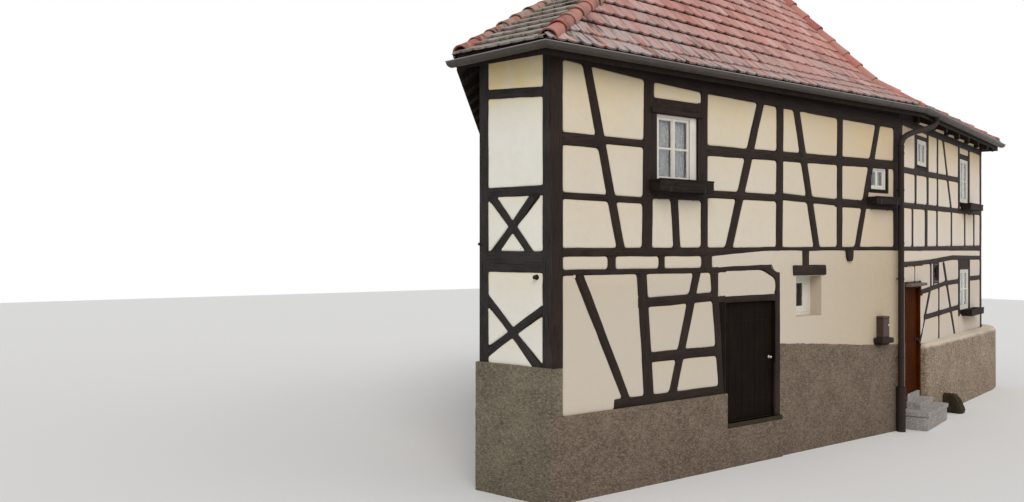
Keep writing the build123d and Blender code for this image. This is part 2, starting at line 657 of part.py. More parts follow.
def rear_timbers(wall, z0, z1):
    """Plain framing of a side that the photo does not show: posts, rails and corner braces."""
    length = wall_length(wall)
    start = CORNER_POST
    stop = length - CORNER_POST
    head = 200 if z1 < WALL_HEAD else WALL_HEAD - PLATE_LINE
    outlines = [rect(start, z0, stop, z0 + 120), rect(start, z1 - head, stop, z1)]
    bays = round(length / REAR_POST_SPACING)
    step = (stop - start) / bays
    top = min(z1, ATTIC_FLOOR_TOP)
    for i in range(1, bays):
        s = start + i * step
        outlines.append(rect(s - REAR_POST_WIDTH / 2, z0, s + REAR_POST_WIDTH / 2, z1))
    middle = (z0 + top) / 2
    outlines.append(rect(start, middle - REAR_RAIL_WIDTH / 2, stop, middle + REAR_RAIL_WIDTH / 2))
    outlines.append(bar(start + 100, z0, start + step - 100, top - 150, REAR_BRACE_WIDTH))
    outlines.append(bar(stop - 100, z0, stop - step + 100, top - 150, REAR_BRACE_WIDTH))
    return outlines


def frame_rear():
    """Framing let into one backing wall per storey on the three sides away from the street."""
    frames = []
    fills = []
    for wall in (END, REAR, REAR_LEFT):
        for z0, z1 in ((PLINTH_TOP_REAR, STOREY_LINE_RIGHT), (STOREY_LINE_RIGHT, WALL_HEAD)):
            field = fields(wall, z0, z1)
            if wall == END and z0 == PLINTH_TOP_REAR:
                stop = wall_length(wall) - CORNER_POST
                field = [(END_RETURN, z0), (stop, z0), (stop, z1), (CORNER_POST, z1),
                         (CORNER_POST, PLINTH_TOP_LANE), (END_RETURN, PLINTH_TOP_LANE)]
            frame = lattice(rear_timbers(wall, z0, z1), field, REAR_TIMBER_DEPTH)
            backing = panel(field, INFILL_INSET, TIMBER_DEPTH) - frame
            fills.append(under_roof(place(wall, backing)))
            frames.append(under_roof(place(wall, frame)))
    return frames, fills


def corner_posts():
    """Corner posts of both storeys, each from its base to the roof."""
    lows = {1: PLINTH_TOP_LEFT, 2: STOREY_LINE_RIGHT, 3: PLINTH_TOP_LANE,
            4: PLINTH_TOP_REAR, 5: PLINTH_TOP_REAR, 0: PLINTH_TOP_LEFT}
    return [corner_post(corner, low, WALL_HEAD) for corner, low in lows.items()]


# Floors


def floor_plate(inset, top, thickness):
    """Floor over the whole plan between the inner faces of the walls."""
    return prism([corner_offset(corner, inset) for corner in range(6)], top - thickness, top)


def ground_floor():
    return floor_plate(MASONRY_THICKNESS, GROUND_FLOOR_TOP, FLOOR_THICKNESS)


def upper_floor():
    return floor_plate(TIMBER_DEPTH, UPPER_FLOOR_TOP, FLOOR_THICKNESS) - masonry_front()


def attic_floor():
    return floor_plate(TIMBER_DEPTH, ATTIC_FLOOR_TOP, FLOOR_THICKNESS)


# Doors and windows


def upright_pin(s, t, radius, low, high):
    return Pos(s, t, low) * extrude(Circle(radius), amount=high - low)


def door_leaf(left, right, sill, head):
    """Plank leaf with two strap hinges on its inner face, their eyes on the hinge line."""
    s0 = left + DOOR_CLEARANCE
    back = LEAF_INSET + LEAF_THICKNESS
    leaf = panel(rect(s0, sill, right - DOOR_CLEARANCE, head - DOOR_CLEARANCE), LEAF_INSET, back)
    line = left + HINGE_OFFSET
    for z in hinge_levels(sill, head):
        reach = (right - left) * STRAP_SHARE
        strap = panel(rect(line, z, line + reach, z + STRAP_HEIGHT), back, back + STRAP_THICKNESS)
        eye = upright_pin(line, back + EYE_RADIUS, EYE_RADIUS, z, z + STRAP_HEIGHT)
        hole = upright_pin(line, back + EYE_RADIUS, PIN_RADIUS + PIN_CLEARANCE, z, z + STRAP_HEIGHT)
        leaf = leaf + strap + eye - hole
    return leaf


def hinge_levels(sill, head):
    return (sill + HINGE_FROM_END, head - HINGE_FROM_END - STRAP_HEIGHT)


def pintles(left, sill, head):
    """Pins that carry a leaf, each on a block against the jamb."""
    line = left + HINGE_OFFSET
    t = LEAF_INSET + LEAF_THICKNESS + EYE_RADIUS
    pieces = []
    for z in hinge_levels(sill, head):
        low = z - DOOR_CLEARANCE
        pin = upright_pin(line, t, PIN_RADIUS, low - PINTLE_BLOCK, z + STRAP_HEIGHT)
        block = panel(rect(left, low - PINTLE_BLOCK, line, low), t - PIN_RADIUS, t + PIN_RADIUS)
        pieces.append(pin + block)
    return pieces


def stable_door():
    return place(FRONT, door_leaf(STABLE_DOOR_LEFT, STABLE_DOOR_RIGHT, STABLE_DOOR_SILL, STABLE_DOOR_HEAD))


def entrance_door():
    return place(LANE, door_leaf(ENTRANCE_LEFT, ENTRANCE_RIGHT, ENTRANCE_SILL, ENTRANCE_HEAD))


def door_pintles():
    stable = pintles(STABLE_DOOR_LEFT, STABLE_DOOR_SILL, STABLE_DOOR_HEAD)
    entrance = pintles(ENTRANCE_LEFT, ENTRANCE_SILL, ENTRANCE_HEAD)
    return [place(FRONT, piece) for piece in stable] + [place(LANE, piece) for piece in entrance]


def window_frame(window, inset):
    s0, z0, s1, z1 = window
    columns = math.ceil((s1 - s0) / LARGEST_PANE_WIDTH)
    rows = math.ceil((z1 - z0) / LARGEST_PANE_HEIGHT)
    body = panel(rect(*window), inset, inset + WINDOW_DEPTH)
    width = (s1 - s0 - (columns + 1) * WINDOW_BAR) / columns
    height = (z1 - z0 - (rows + 1) * WINDOW_BAR) / rows
    panes = []
    for i in range(columns):
        for j in range(rows):
            a = s0 + WINDOW_BAR + i * (width + WINDOW_BAR)
            b = z0 + WINDOW_BAR + j * (height + WINDOW_BAR)
            opening = rect(a, b, a + width, b + height)
            body = body - panel(opening, inset, inset + WINDOW_DEPTH)
            middle = inset + WINDOW_DEPTH / 2
            panes.append(panel(opening, middle - PANE_THICKNESS / 2, middle + PANE_THICKNESS / 2))
    return body, panes


WINDOWS = [(FRONT, MAIN_WINDOW, WINDOW_INSET), (FRONT, SMALL_WINDOW, WINDOW_INSET),
           (FRONT, GROUND_WINDOW, GROUND_WINDOW_INSET),
           (LANE, LANE_WINDOW_SMALL, LANE_WINDOW_INSET), (LANE, LANE_WINDOW_TALL, LANE_WINDOW_INSET),
           (LANE, LANE_WINDOW_SLIT, LANE_WINDOW_INSET), (LANE, LANE_WINDOW_GROUND, LANE_WINDOW_INSET)]


def windows(wall):
    frames = []
    panes = []
    for side, window, inset in WINDOWS:
        if side == wall:
            body, sheets = window_frame(window, inset)
            frames.append(place(side, body))
            panes += [place(side, sheet) for sheet in sheets]
    return frames, panes


# Rainwater goods


def gutter_section():
    """Half ring in the plane across the gutter: inward and up from the outer rim."""
    outer = Circle(GUTTER_RADIUS) - Circle(GUTTER_RADIUS - GUTTER_WALL)
    lower = Pos(0, -GUTTER_RADIUS) * Rectangle(GUTTER_RADIUS * 4, GUTTER_RADIUS * 2)
    return outer & lower


def gutter():
    """Half-round gutter round the left, front and lane eaves, mitred at the corners."""
    runs = []
    for wall in (LEFT, FRONT, LANE):
        nxt = (wall + 1) % 6
        angle = wall_angle(wall)
        start = eave_corner(wall, GUTTER_RADIUS)
        length = math.hypot(eave_corner(nxt)[0] - eave_corner(wall)[0],
                            eave_corner(nxt)[1] - eave_corner(wall)[1])
        begin = walk(start, angle, -500)
        section = Plane(origin=(begin[0], begin[1], GUTTER_RIM), x_dir=(*unit(angle + 90), 0),
                        z_dir=(*unit(angle), 0)) * gutter_section()
        run = extrude(section, amount=length + 1000)
        outline = [eave_corner(wall, 2 * GUTTER_RADIUS), eave_corner(nxt, 2 * GUTTER_RADIUS),
                   eave_corner(nxt, 0), eave_corner(wall, 0)]
        runs.append(run & prism(outline, GUTTER_RIM - 200, GUTTER_RIM + 100))
    return fuse(runs)


DOWNPIPE_RADIUS = 55
DOWNPIPE_ALONG = FRONT_LENGTH - 90
DOWNPIPE_OUT = 100
STANDPIPE_RADIUS = 82
OUTLET_ALONG = 1150
NECK_DROP = 620
STANDPIPE_HEIGHT = 850
CLAMP_LEVELS = (1400, 2900, 4600)


def tube_between(start, stop, radius):
    """Round bar between two points, with a ball at its start to round the bend."""
    direction = Vector(*stop) - Vector(*start)
    bar_plane = Plane(origin=start, z_dir=direction)
    return bar_plane * extrude(Circle(radius), amount=direction.length) + Pos(*start) * Sphere(radius)


def downpipe():
    """Swan neck from the lane gutter, downpipe, clamps, and a thicker standpipe at the foot."""
    foot = on_wall(FRONT, DOWNPIPE_ALONG, -DOWNPIPE_OUT)
    outlet = on_wall(LANE, OUTLET_ALONG, -EAVE_OVERHANG_SIDE - GUTTER_RADIUS)
    gutter_bottom = GUTTER_RIM - GUTTER_RADIUS
    bend = lift(outlet, gutter_bottom - 100)
    top = lift(foot, gutter_bottom - NECK_DROP)
    pipe = tube_between(top, lift(foot, 0), DOWNPIPE_RADIUS)
    pipe = pipe + tube_between(bend, top, DOWNPIPE_RADIUS)
    pipe = pipe + tube_between(bend, lift(outlet, gutter_bottom), DOWNPIPE_RADIUS)
    pipe = pipe + Pos(foot[0], foot[1], 0) * extrude(Circle(STANDPIPE_RADIUS), amount=STANDPIPE_HEIGHT)
    for level in CLAMP_LEVELS:
        ring = Pos(foot[0], foot[1], level) * extrude(Circle(DOWNPIPE_RADIUS + 6), amount=30)
        arm = panel(rect(DOWNPIPE_ALONG - 15, level, DOWNPIPE_ALONG + 15, level + 30), -DOWNPIPE_OUT, 0)
        pipe = pipe + ring + place(FRONT, arm)
    return pipe - gutter()


# Fittings
GUARD_STONE_ALONG = 2830
GUARD_STONE_OUT = 380
GUARD_STONE_RADIUS = 270
GUARD_STONE_HEIGHT = 420
# Window boxes: wall, outline (start, low, stop, high) and how far they stand out
WINDOW_BOXES = [(FRONT, (1885, 4330, 3075, 4520), 230),
                (FRONT, (FRONT_LENGTH - 1117, 4320, FRONT_LENGTH - 264, 4465), 200),
                (LANE, (5200, 4440, 6600, 4590), 230),
                (LANE, (5300, 1905, 6700, 2060), 230)]
MAILBOX = (FRONT_LENGTH - 805, 1830, FRONT_LENGTH - 580, 2230)
MAILBOX_DEPTH = 150
MAILBOX_SHELF = (FRONT_LENGTH - 906, 1690, FRONT_LENGTH - 515, 1830)
MAILBOX_SHELF_DEPTH = 200
CANOPY = (MASONRY_CORNER_RETURN, 2735, 1580, 2815)
CANOPY_DEPTH = 150
LOW_STEP = (150, 0, 1750, 350)
LOW_STEP_DEPTH = 500
HIGH_STEP = (520, 350, 1520, 480)
HIGH_STEP_DEPTH = 260


def window_boxes():
    return [place(wall, panel(rect(*outline), -depth, 0)) for wall, outline, depth in WINDOW_BOXES]


def mailbox():
    """Letter box on a stone bracket, near the right end of the front."""
    box = panel(rect(*MAILBOX), -MAILBOX_DEPTH, 0)
    shelf = panel(rect(*MAILBOX_SHELF), -MAILBOX_SHELF_DEPTH, 0)
    return place(FRONT, box + shelf)


def canopy():
    return place(LANE, panel(rect(*CANOPY), -CANOPY_DEPTH, 0))


def steps():
    """Broad low step and a narrow one at the entrance door."""
    low = panel(rect(*LOW_STEP), -LOW_STEP_DEPTH, 0)
    high = panel(rect(*HIGH_STEP), -HIGH_STEP_DEPTH, 0)
    return place(LANE, low + high) - plinth_lane()


def guard_stone():
    """Leaning round stone that keeps wheels off the wall."""
    foot = on_wall(LANE, GUARD_STONE_ALONG, -GUARD_STONE_OUT)
    head = on_wall(LANE, GUARD_STONE_ALONG - 90, -GUARD_STONE_OUT + 110)
    lower = Plane(origin=lift(foot, 0)) * Circle(GUARD_STONE_RADIUS)
    upper = Plane(origin=lift(head, GUARD_STONE_HEIGHT)) * Circle(GUARD_STONE_RADIUS * 0.5)
    return loft([lower, upper]) - plinth_lane()


def save(name, shapes):
    """Writes one node; its solids share the node without touching."""
    if not isinstance(shapes, list):
        shapes = [shapes]
    solids = []
    for shape in shapes:
        solids += list(shape.solids())
    export_step(Compound(children=solids) if len(solids) > 1 else solids[0], "parts/" + name + ".step")


def main():
    os.makedirs("parts", exist_ok=True)
    save("plinth_left", plinth_left())
    save("plinth_front", plinth_front())
    save("masonry_front", masonry_front())
    save("plinth_lane", plinth_lane())
    save("thresholds", [plinth_door(), plinth_entrance()])
    save("plinth_rear", plinth_rear())
    frame, fill = frame_front_lower()
    save("frame_front_lower", frame)
    save("infill_front_lower", fill)
    frame, fill = frame_front_upper()
    save("frame_front_upper", frame)
    save("infill_front_upper", fill)
    frame, fill = frame_left()
    save("frame_left", frame)
    save("infill_left", fill)
    frame, fill = frame_lane_lower()
    save("frame_lane_lower", frame)
    save("infill_lane_lower", fill)
    frame, fill = frame_lane_upper()
    save("frame_lane_upper", frame)
    save("infill_lane_upper", fill)
    frame, fill = frame_rear()
    save("frame_rear", frame)
    save("infill_rear", fill)
    save("corner_posts", corner_posts())
    save("stable_door_frame", stable_door_frame())
    save("entrance_frame", entrance_frame())
    save("infill_over_doors", stable_door_infill() + entrance_infill())
    save("ground_floor", ground_floor())
    save("upper_floor", upper_floor())
    save("attic_floor", attic_floor())
    save("stable_door", stable_door())
    save("entrance_door", entrance_door())
    save("door_pintles", door_pintles())
    for name, wall in (("front", FRONT), ("lane", LANE)):
        frames, panes = windows(wall)
        save("window_frames_" + name, frames)
        save("window_panes_" + name, panes)
    for name in ROOF_FACES:
        save(name, roof_part(name))
    save("gutter", gutter())
    save("downpipe", downpipe())
    save("window_boxes", window_boxes())
    save("mailbox", mailbox())
    save("entrance_canopy", canopy())
    save("entrance_steps", steps())
    save("guard_stone", guard_stone())


main()
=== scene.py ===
import itertools
import math
import random

import bmesh
import bpy
from mathutils import Matrix, Vector, noise
from mathutils.geometry import delaunay_2d_cdt, tessellate_polygon


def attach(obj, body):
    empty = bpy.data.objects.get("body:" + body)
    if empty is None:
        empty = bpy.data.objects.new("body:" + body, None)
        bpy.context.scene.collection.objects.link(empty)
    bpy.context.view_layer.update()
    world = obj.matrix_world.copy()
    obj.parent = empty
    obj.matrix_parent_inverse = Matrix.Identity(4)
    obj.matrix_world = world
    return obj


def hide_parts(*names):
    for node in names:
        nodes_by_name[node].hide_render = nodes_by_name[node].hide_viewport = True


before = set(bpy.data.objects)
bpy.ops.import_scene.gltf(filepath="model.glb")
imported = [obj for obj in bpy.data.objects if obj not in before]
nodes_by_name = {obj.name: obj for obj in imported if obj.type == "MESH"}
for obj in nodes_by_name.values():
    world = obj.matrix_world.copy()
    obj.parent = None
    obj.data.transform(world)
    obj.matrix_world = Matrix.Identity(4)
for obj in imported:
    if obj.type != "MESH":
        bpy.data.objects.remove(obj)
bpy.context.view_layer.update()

HOUSE = "house"
rng = random.Random(7)
noise.seed_set(7)

# Plan of the walls, in metres: corners in order A B C D F E, as in the frame
LEFT_LENGTH, FRONT_LENGTH, LANE_LENGTH, END_LENGTH = 1.3, 8.74, 7.57, 6.77
LEFT_ANGLE, LANE_ANGLE, END_ANGLE = 102, 15, 105
EAVE_HEIGHT = 6.265
# Heights of base, upper floor and plate on the rear walls, in millimetres
BASE_TOP, STOREY_LINE, PLATE_TOP = 1180, 3462, 6230


def unit(angle):
    return Vector((math.cos(math.radians(angle)), math.sin(math.radians(angle))))


B = Vector((0.0, 0.0))
A = B + unit(LEFT_ANGLE) * LEFT_LENGTH
C = Vector((FRONT_LENGTH, 0.0))
D = C + unit(LANE_ANGLE) * LANE_LENGTH
F = D + unit(END_ANGLE) * END_LENGTH
E = Vector((5.67, 8.85))
CORNERS = [A, B, C, D, F, E]
LEFT, FRONT, LANE, END, REAR, REAR_LEFT = range(6)
ROOF_NODES = ("roof_left", "roof_front", "roof_lane", "roof_end", "roof_rear", "roof_rear_left")


def wall_frame(wall):
    """Matrix from a wall's own frame (along, inward, up) to the house frame."""
    start = CORNERS[wall]
    step = CORNERS[(wall + 1) % 6] - start
    turn = Matrix.Rotation(math.atan2(step.y, step.x), 4, "Z")
    return Matrix.Translation((start.x, start.y, 0)) @ turn


WALLS = [wall_frame(i) for i in range(6)]
OUTWARD = [w.to_3x3() @ Vector((0, -1, 0)) for w in WALLS]


def rough(x, y=0.0, z=0.0):
    """Smooth noise at a place, from about -1 to 1."""
    return noise.noise(Vector((x, y, z)))


# Materials

def dimmed(colour, share):
    return tuple(c * share for c in colour)


class Maker:
    """Builds one node material with few words."""

    def __init__(self, name, roughness=0.8, metallic=0.0, specular=0.15):
        self.mat = bpy.data.materials.new(name)
        self.mat.use_nodes = True
        self.tree = self.mat.node_tree
        self.shader = self.tree.nodes["Principled BSDF"]
        self.shader.inputs["Roughness"].default_value = roughness
        self.shader.inputs["Metallic"].default_value = metallic
        self.shader.inputs["Specular IOR Level"].default_value = specular
        self.coords = self.node("TexCoord", "Object")

    def link(self, source, target):
        """Wires an output to a socket, or sets the socket to a number, colour or vector."""
        if isinstance(source, (int, float)):
            target.default_value = source
        elif isinstance(source, tuple):
            target.default_value = source if target.type == "VECTOR" else (*source, 1.0)
        else:
            self.tree.links.new(source, target)

    def node(self, kind, output, inputs=(), **settings):
        """Output of a new node, from its settings and its (socket, source) pairs."""
        made = self.tree.nodes.new("ShaderNode" + kind)
        for name, value in settings.items():
            setattr(made, name, value)
        for socket, source in inputs:
            self.link(source, made.inputs[socket])
        return made.outputs[output]

    def stretch(self, x, y, z, source=None):
        return self.node("Mapping", "Vector", [("Vector", source or self.coords), ("Scale", (x, y, z))])

    def noise(self, scale, detail=4.0, rough=0.55, vector=None, distort=0.0):
        return self.node("TexNoise", "Fac", [("Scale", scale), ("Detail", detail), ("Roughness", rough),
                                             ("Distortion", distort), ("Vector", vector or self.coords)])

    def ramp(self, fac, *stops):
        node = self.tree.nodes.new("ShaderNodeValToRGB")
        ramp = node.color_ramp
        while len(ramp.elements) < len(stops):
            ramp.elements.new(0.5)
        for element, (place, colour) in zip(ramp.elements, stops):
            element.position = place
            element.color = (*colour, 1.0)
        self.link(fac, node.inputs["Fac"])
        return node.outputs["Color"]

    def grey(self, fac, low, high, at0=0.0, at1=1.0):
        return self.ramp(fac, (at0, (low,) * 3), (at1, (high,) * 3))

    def mix(self, fac, a, b, blend="MIX"):
        return self.node("Mix", 2, [(0, fac), (6, a), (7, b)], data_type="RGBA", blend_type=blend)

    def math(self, kind, a, b, clamp=False):
        return self.node("Math", 0, [(0, a), (1, b)], operation=kind, use_clamp=clamp)

    def share(self, value, start, reach):
        """How far a value has come from a start over its reach, as 0 to 1."""
        return self.math("DIVIDE", self.math("SUBTRACT", value, start), reach, True)

    def attribute(self, name):
        return self.node("Attribute", "Fac", attribute_name=name)

    def axis(self, letter):
        """One axis of the position, for dirt near the ground or stains below the eaves."""
        return self.node("SeparateXYZ", letter, [(0, self.coords)])

    def bump(self, height, strength, distance, under=None):
        return self.node("Bump", "Normal", [("Strength", strength), ("Distance", distance), ("Height", height)]
                         + ([("Normal", under)] if under else []))

    def done(self, colour, normal=None, roughness=None):
        for source, socket in ((colour, "Base Color"), (normal, "Normal"), (roughness, "Roughness")):
            if source is not None:
                self.link(source, self.shader.inputs[socket])
        return self.mat


# Where the plaster turns warmer along the front, and grey towards the street, in metres with their reach
WARM_FROM, STREET_GREY, PALE_CREST = (4.6, 3.6), (3.45, 0.5), (1.49, 0.06)


def plaster_material(name, body, warm, grain=1.0, eave=(1.06, 0.965, 0.76), low=0.86, rightward=None,
                     stained=(4.75, 1.15)):
    """Old plaster: stained below the eaves, greyer near the street, yellower to the right where asked.

    eave and low tint it there, and stained holds the height where the stain starts and its reach.
    """
    m = Maker(name, 0.92)
    trowel = m.noise(7.0, 5, 0.6)
    mottled = tuple(0.9 * a + 0.1 * b for a, b in zip(body, warm))
    colour = m.mix(m.grey(m.noise(0.9, 3), 0, 1, 0.35, 0.7), body, mottled)
    colour = m.mix(m.attribute("warm"), colour, warm)
    if rightward:
        colour = m.mix(m.share(m.axis("X"), *WARM_FROM), colour, rightward)
    runs = m.grey(m.noise(2.3, 4, 0.6, m.stretch(1, 1, 0.5)), 0.35, 1.15, 0.3, 0.65)
    stain = m.math("MULTIPLY", m.share(m.axis("Z"), *stained), runs, True)
    colour = m.mix(stain, colour, m.mix(1.0, colour, eave, "MULTIPLY"))
    dull = m.share(STREET_GREY[0], m.axis("Z"), STREET_GREY[1])
    colour = m.mix(dull, colour, m.mix(1.0, colour, (low, low * 0.99, low), "MULTIPLY"))
    colour = m.mix(m.grey(trowel, 0.0, 0.35, 0.45, 0.75), colour, dimmed(body, 0.86))
    # Painted shade: darker where the plaster rolls down into its joint with the timbers, by the edge attribute.
    colour = m.mix(m.math("MULTIPLY", m.attribute("edge"), 0.55), colour, dimmed(warm, 0.55))
    normal = m.bump(trowel, 0.5 * grain, 0.012)
    return m.done(colour, m.bump(m.noise(160.0, 3, 0.6), 0.5 * grain, 0.0015, normal))


def timber_material(name, dark, light, specular=0.15):
    """Old painted oak, its grain along the piece's own u direction."""
    m = Maker(name, 0.72, 0.0, specular)
    uv = m.node("UVMap", "UV")
    grain = m.noise(9.0, 6, 0.62, m.stretch(1.2, 16, 1, uv), 0.6)
    checks = m.noise(5.0, 2, 0.5, m.stretch(0.5, 22, 1, uv), 0.3)
    colour = m.mix(m.grey(grain, 0, 1, 0.3, 0.72), dark, light)
    colour = m.mix(m.grey(m.noise(1.7, 4, 0.6), 0, 0.6, 0.45, 0.8), colour, dimmed(light, 1.5))
    crack = m.grey(checks, 1, 0, 0.36, 0.42)
    colour = m.mix(m.math("MULTIPLY", crack, 0.75), colour, dimmed(dark, 0.3))
    normal = m.bump(grain, 0.5, 0.004)
    normal = m.bump(m.math("SUBTRACT", 1.0, crack), 0.8, 0.006, normal)
    return m.done(colour, normal, m.grey(grain, 0.6, 0.85))


def solid_timber_material(name, dark, light):
    """The same oak on solids with no grain direction of their own: grain runs upright."""
    m = Maker(name, 0.75)
    grain = m.noise(14.0, 6, 0.6, m.stretch(1, 1, 0.1), 0.5)
    colour = m.mix(m.grey(grain, 0, 1, 0.3, 0.72), dark, light)
    return m.done(colour, m.bump(grain, 0.4, 0.004))


def stone_material(name, body, dark, scale=1.0, moss=None, crest=None):
    """Rough stone or render: lumps, pits and ripples, moss low down, a paler crest where asked."""
    m = Maker(name, 0.93)
    large = m.noise(1.6 * scale, 5, 0.6)
    lumps = m.noise(9.0 * scale, 6, 0.65)
    pits = m.noise(70.0 * scale, 4, 0.7)
    ripple = m.noise(22.0 * scale, 3, 0.6, m.stretch(1, 1, 2.2), 0.8)
    colour = m.mix(m.grey(lumps, 0, 1, 0.35, 0.7), dark, body)
    colour = m.mix(m.grey(large, 0, 0.6, 0.4, 0.7), colour, dimmed(body, 1.25))
    colour = m.mix(m.grey(pits, 0.5, 0, 0.3, 0.5), colour, dimmed(dark, 0.4))
    low = m.math("MULTIPLY", m.grey(m.axis("Z"), 1, 0, 0.0, 0.9), m.grey(large, 0.15, 0.6))
    colour = m.mix(low, colour, moss or dimmed(dark, 0.55))
    colour = m.mix(m.grey(ripple, 0.62, 0, 0.36, 0.52), colour, dimmed(dark, 0.45))
    colour = m.mix(m.grey(ripple, 0, 0.55, 0.52, 0.68), colour, dimmed(body, 1.55))
    if crest:
        height = m.math("ADD", m.axis("Z"), m.math("MULTIPLY", large, 0.12))
        colour = m.mix(m.share(height, *PALE_CREST), colour, crest)
    normal = m.bump(ripple, 0.9, 0.018, m.bump(lumps, 0.9, 0.03))
    return m.done(colour, m.bump(pits, 0.7, 0.005, normal))


def tile_material(name, colours, dark, patina):
    """Clay tiles: a tone for each tile, weathering in streaks, patina where the attribute says, and painted
    shadow below each row's tails.
    """
    m = Maker(name, 0.85)
    blotch = m.noise(11.0, 5, 0.65)
    downhill = m.stretch(1, 0.16, 0.16)
    streak = m.noise(7.0, 4, 0.6, downhill)
    black = m.noise(10.0, 5, 0.68, downhill, 0.4)
    colour = m.ramp(m.attribute("shade"), *[(i / (len(colours) - 1), c) for i, c in enumerate(colours)])
    colour = m.mix(m.grey(blotch, 0, 0.35, 0.45, 0.75), colour, dimmed(colours[-1], 1.15))
    for spots, tint in ((m.grey(streak, 0.0, 1.5, 0.35, 0.62), patina),
                        (m.grey(black, 0, 1.5, 0.50, 0.66), dark)):
        colour = m.mix(m.math("MULTIPLY", m.attribute("patina"), spots, True), colour, tint)
    # Painted shadow: near-black where the next row's butt overlaps each tile and down the lower part of each
    # butt, in place of the shadow under each row of tails.
    colour = m.mix(m.grey(m.attribute("tail"), 0, 1, 0.68, 0.73), colour, (0.017, 0.005, 0.004))
    return m.done(colour, m.bump(m.noise(150.0, 3, 0.7), 0.5, 0.0015, m.bump(blotch, 0.5, 0.006)))


def paint_material(name, body, roughness=0.45, wear=(0.3, 0.28, 0.25), metallic=0.0, wear_amount=0.25):
    m = Maker(name, roughness, metallic, 0.35)
    patch = m.noise(5.0, 5, 0.65)
    fine = m.noise(60.0, 3, 0.6)
    colour = m.mix(m.grey(patch, 0, wear_amount, 0.5, 0.8), body, wear)
    colour = m.mix(m.grey(fine, 0.12, 0, 0.3, 0.6), colour, dimmed(body, 0.6))
    return m.done(colour, m.bump(fine, 0.25, 0.001), m.grey(patch, roughness - 0.08, roughness + 0.15))


def glass_material():
    """Window glass that shows the dim room behind it."""
    m = Maker("window_glass", 0.04, 0.0, 0.5)
    m.shader.inputs["Transmission Weight"].default_value = 1.0
    m.shader.inputs["IOR"].default_value = 1.3
    return m.done((0.86, 0.9, 0.9), m.bump(m.noise(3.0, 2), 0.12, 0.01))


def curtain_material():
    m = Maker("net_curtain", 0.95)
    motif = m.node("TexVoronoi", "Distance", [("Scale", 24.0), ("Vector", m.coords)])
    colour = m.mix(m.grey(motif, 0, 1, 0.15, 0.4), (0.62, 0.60, 0.57), (0.42, 0.41, 0.40))
    m.shader.inputs["Sheen Weight"].default_value = 0.2
    return m.done(colour, m.bump(m.noise(260.0, 2), 0.5, 0.001))


RENDER = plaster_material("masonry_render", (0.60, 0.53, 0.43), (0.56, 0.46, 0.33), 1.6, low=0.95,
                          rightward=(0.50, 0.405, 0.28))
PLASTER = plaster_material("plaster_front", (0.645, 0.575, 0.465), (0.63, 0.545, 0.405),
                           rightward=(0.575, 0.465, 0.33))
PLASTER_COOL = plaster_material("plaster_left", (0.78, 0.755, 0.67), (0.74, 0.68, 0.52), 1.0,
                                (1.08, 0.88, 0.52), 0.97, stained=(5.45, 0.3))
PLASTER_LANE = plaster_material("plaster_lane", (0.68, 0.60, 0.515), (0.66, 0.54, 0.38))
TIMBER, TIMBER_GREY, STABLE_WOOD, ENTRANCE_WOOD, BOX_WOOD, BOARDS = (timber_material(*row) for row in (
    ("timber_brown", (0.013, 0.0075, 0.0055), (0.032, 0.0195, 0.0145)),
    ("timber_grey", (0.015, 0.0125, 0.012), (0.036, 0.031, 0.029)),
    ("stable_planks", (0.0042, 0.0021, 0.0013), (0.0105, 0.0058, 0.0037), 0.06),
    ("entrance_planks", (0.026, 0.0045, 0.0003), (0.066, 0.0150, 0.0010), 0.02),
    ("box_wood", (0.010, 0.0062, 0.0048), (0.025, 0.0165, 0.0125), 0.1),
    ("floor_boards", (0.16, 0.10, 0.06), (0.30, 0.20, 0.13))))
TIMBER_SOLID = solid_timber_material("timber_solid", (0.013, 0.0075, 0.0055), (0.030, 0.0185, 0.014))
STONE, STONE_LEFT, STONE_DARK, STONE_PALE, STONE_STEP, STONE_MOSS, STONE_CANOPY, SOIL = (
    stone_material(*row) for row in (
        ("stone_base", (0.225, 0.170, 0.125), (0.125, 0.092, 0.066), 1.3, (0.085, 0.066, 0.046)),
        ("stone_left", (0.225, 0.190, 0.135), (0.125, 0.108, 0.075), 1.3, (0.08, 0.068, 0.044)),
        ("stone_threshold", (0.048, 0.037, 0.021), (0.026, 0.021, 0.012), 1.5, (0.032, 0.028, 0.012)),
        ("stone_lane", (0.36, 0.275, 0.20), (0.21, 0.157, 0.11), 0.8, (0.13, 0.105, 0.075),
         (0.56, 0.49, 0.38)),
        ("stone_step", (0.46, 0.425, 0.40), (0.33, 0.30, 0.28), 1.6),
        ("stone_guard", (0.050, 0.038, 0.020), (0.024, 0.019, 0.010), 1.5, (0.020, 0.020, 0.008)),
        ("stone_canopy", (0.21, 0.17, 0.14), (0.10, 0.08, 0.066), 2.0),
        ("planting_soil", (0.035, 0.024, 0.016), (0.016, 0.011, 0.008), 3.0)))
TILES_RED = tile_material(
    "roof_tiles_red", [(0.34, 0.138, 0.11), (0.45, 0.20, 0.162), (0.52, 0.265, 0.22), (0.58, 0.36, 0.31)],
    (0.055, 0.042, 0.040), (0.42, 0.35, 0.33))
TILES_GREY = tile_material(
    "roof_tiles_grey", [(0.20, 0.15, 0.125), (0.27, 0.22, 0.185), (0.33, 0.28, 0.24), (0.30, 0.19, 0.15)],
    (0.03, 0.027, 0.022), (0.36, 0.33, 0.28))
HIP_CLAY = tile_material("hip_tiles", [(0.32, 0.085, 0.070), (0.41, 0.138, 0.108), (0.47, 0.21, 0.17)],
                         (0.06, 0.04, 0.035), (0.33, 0.26, 0.21))
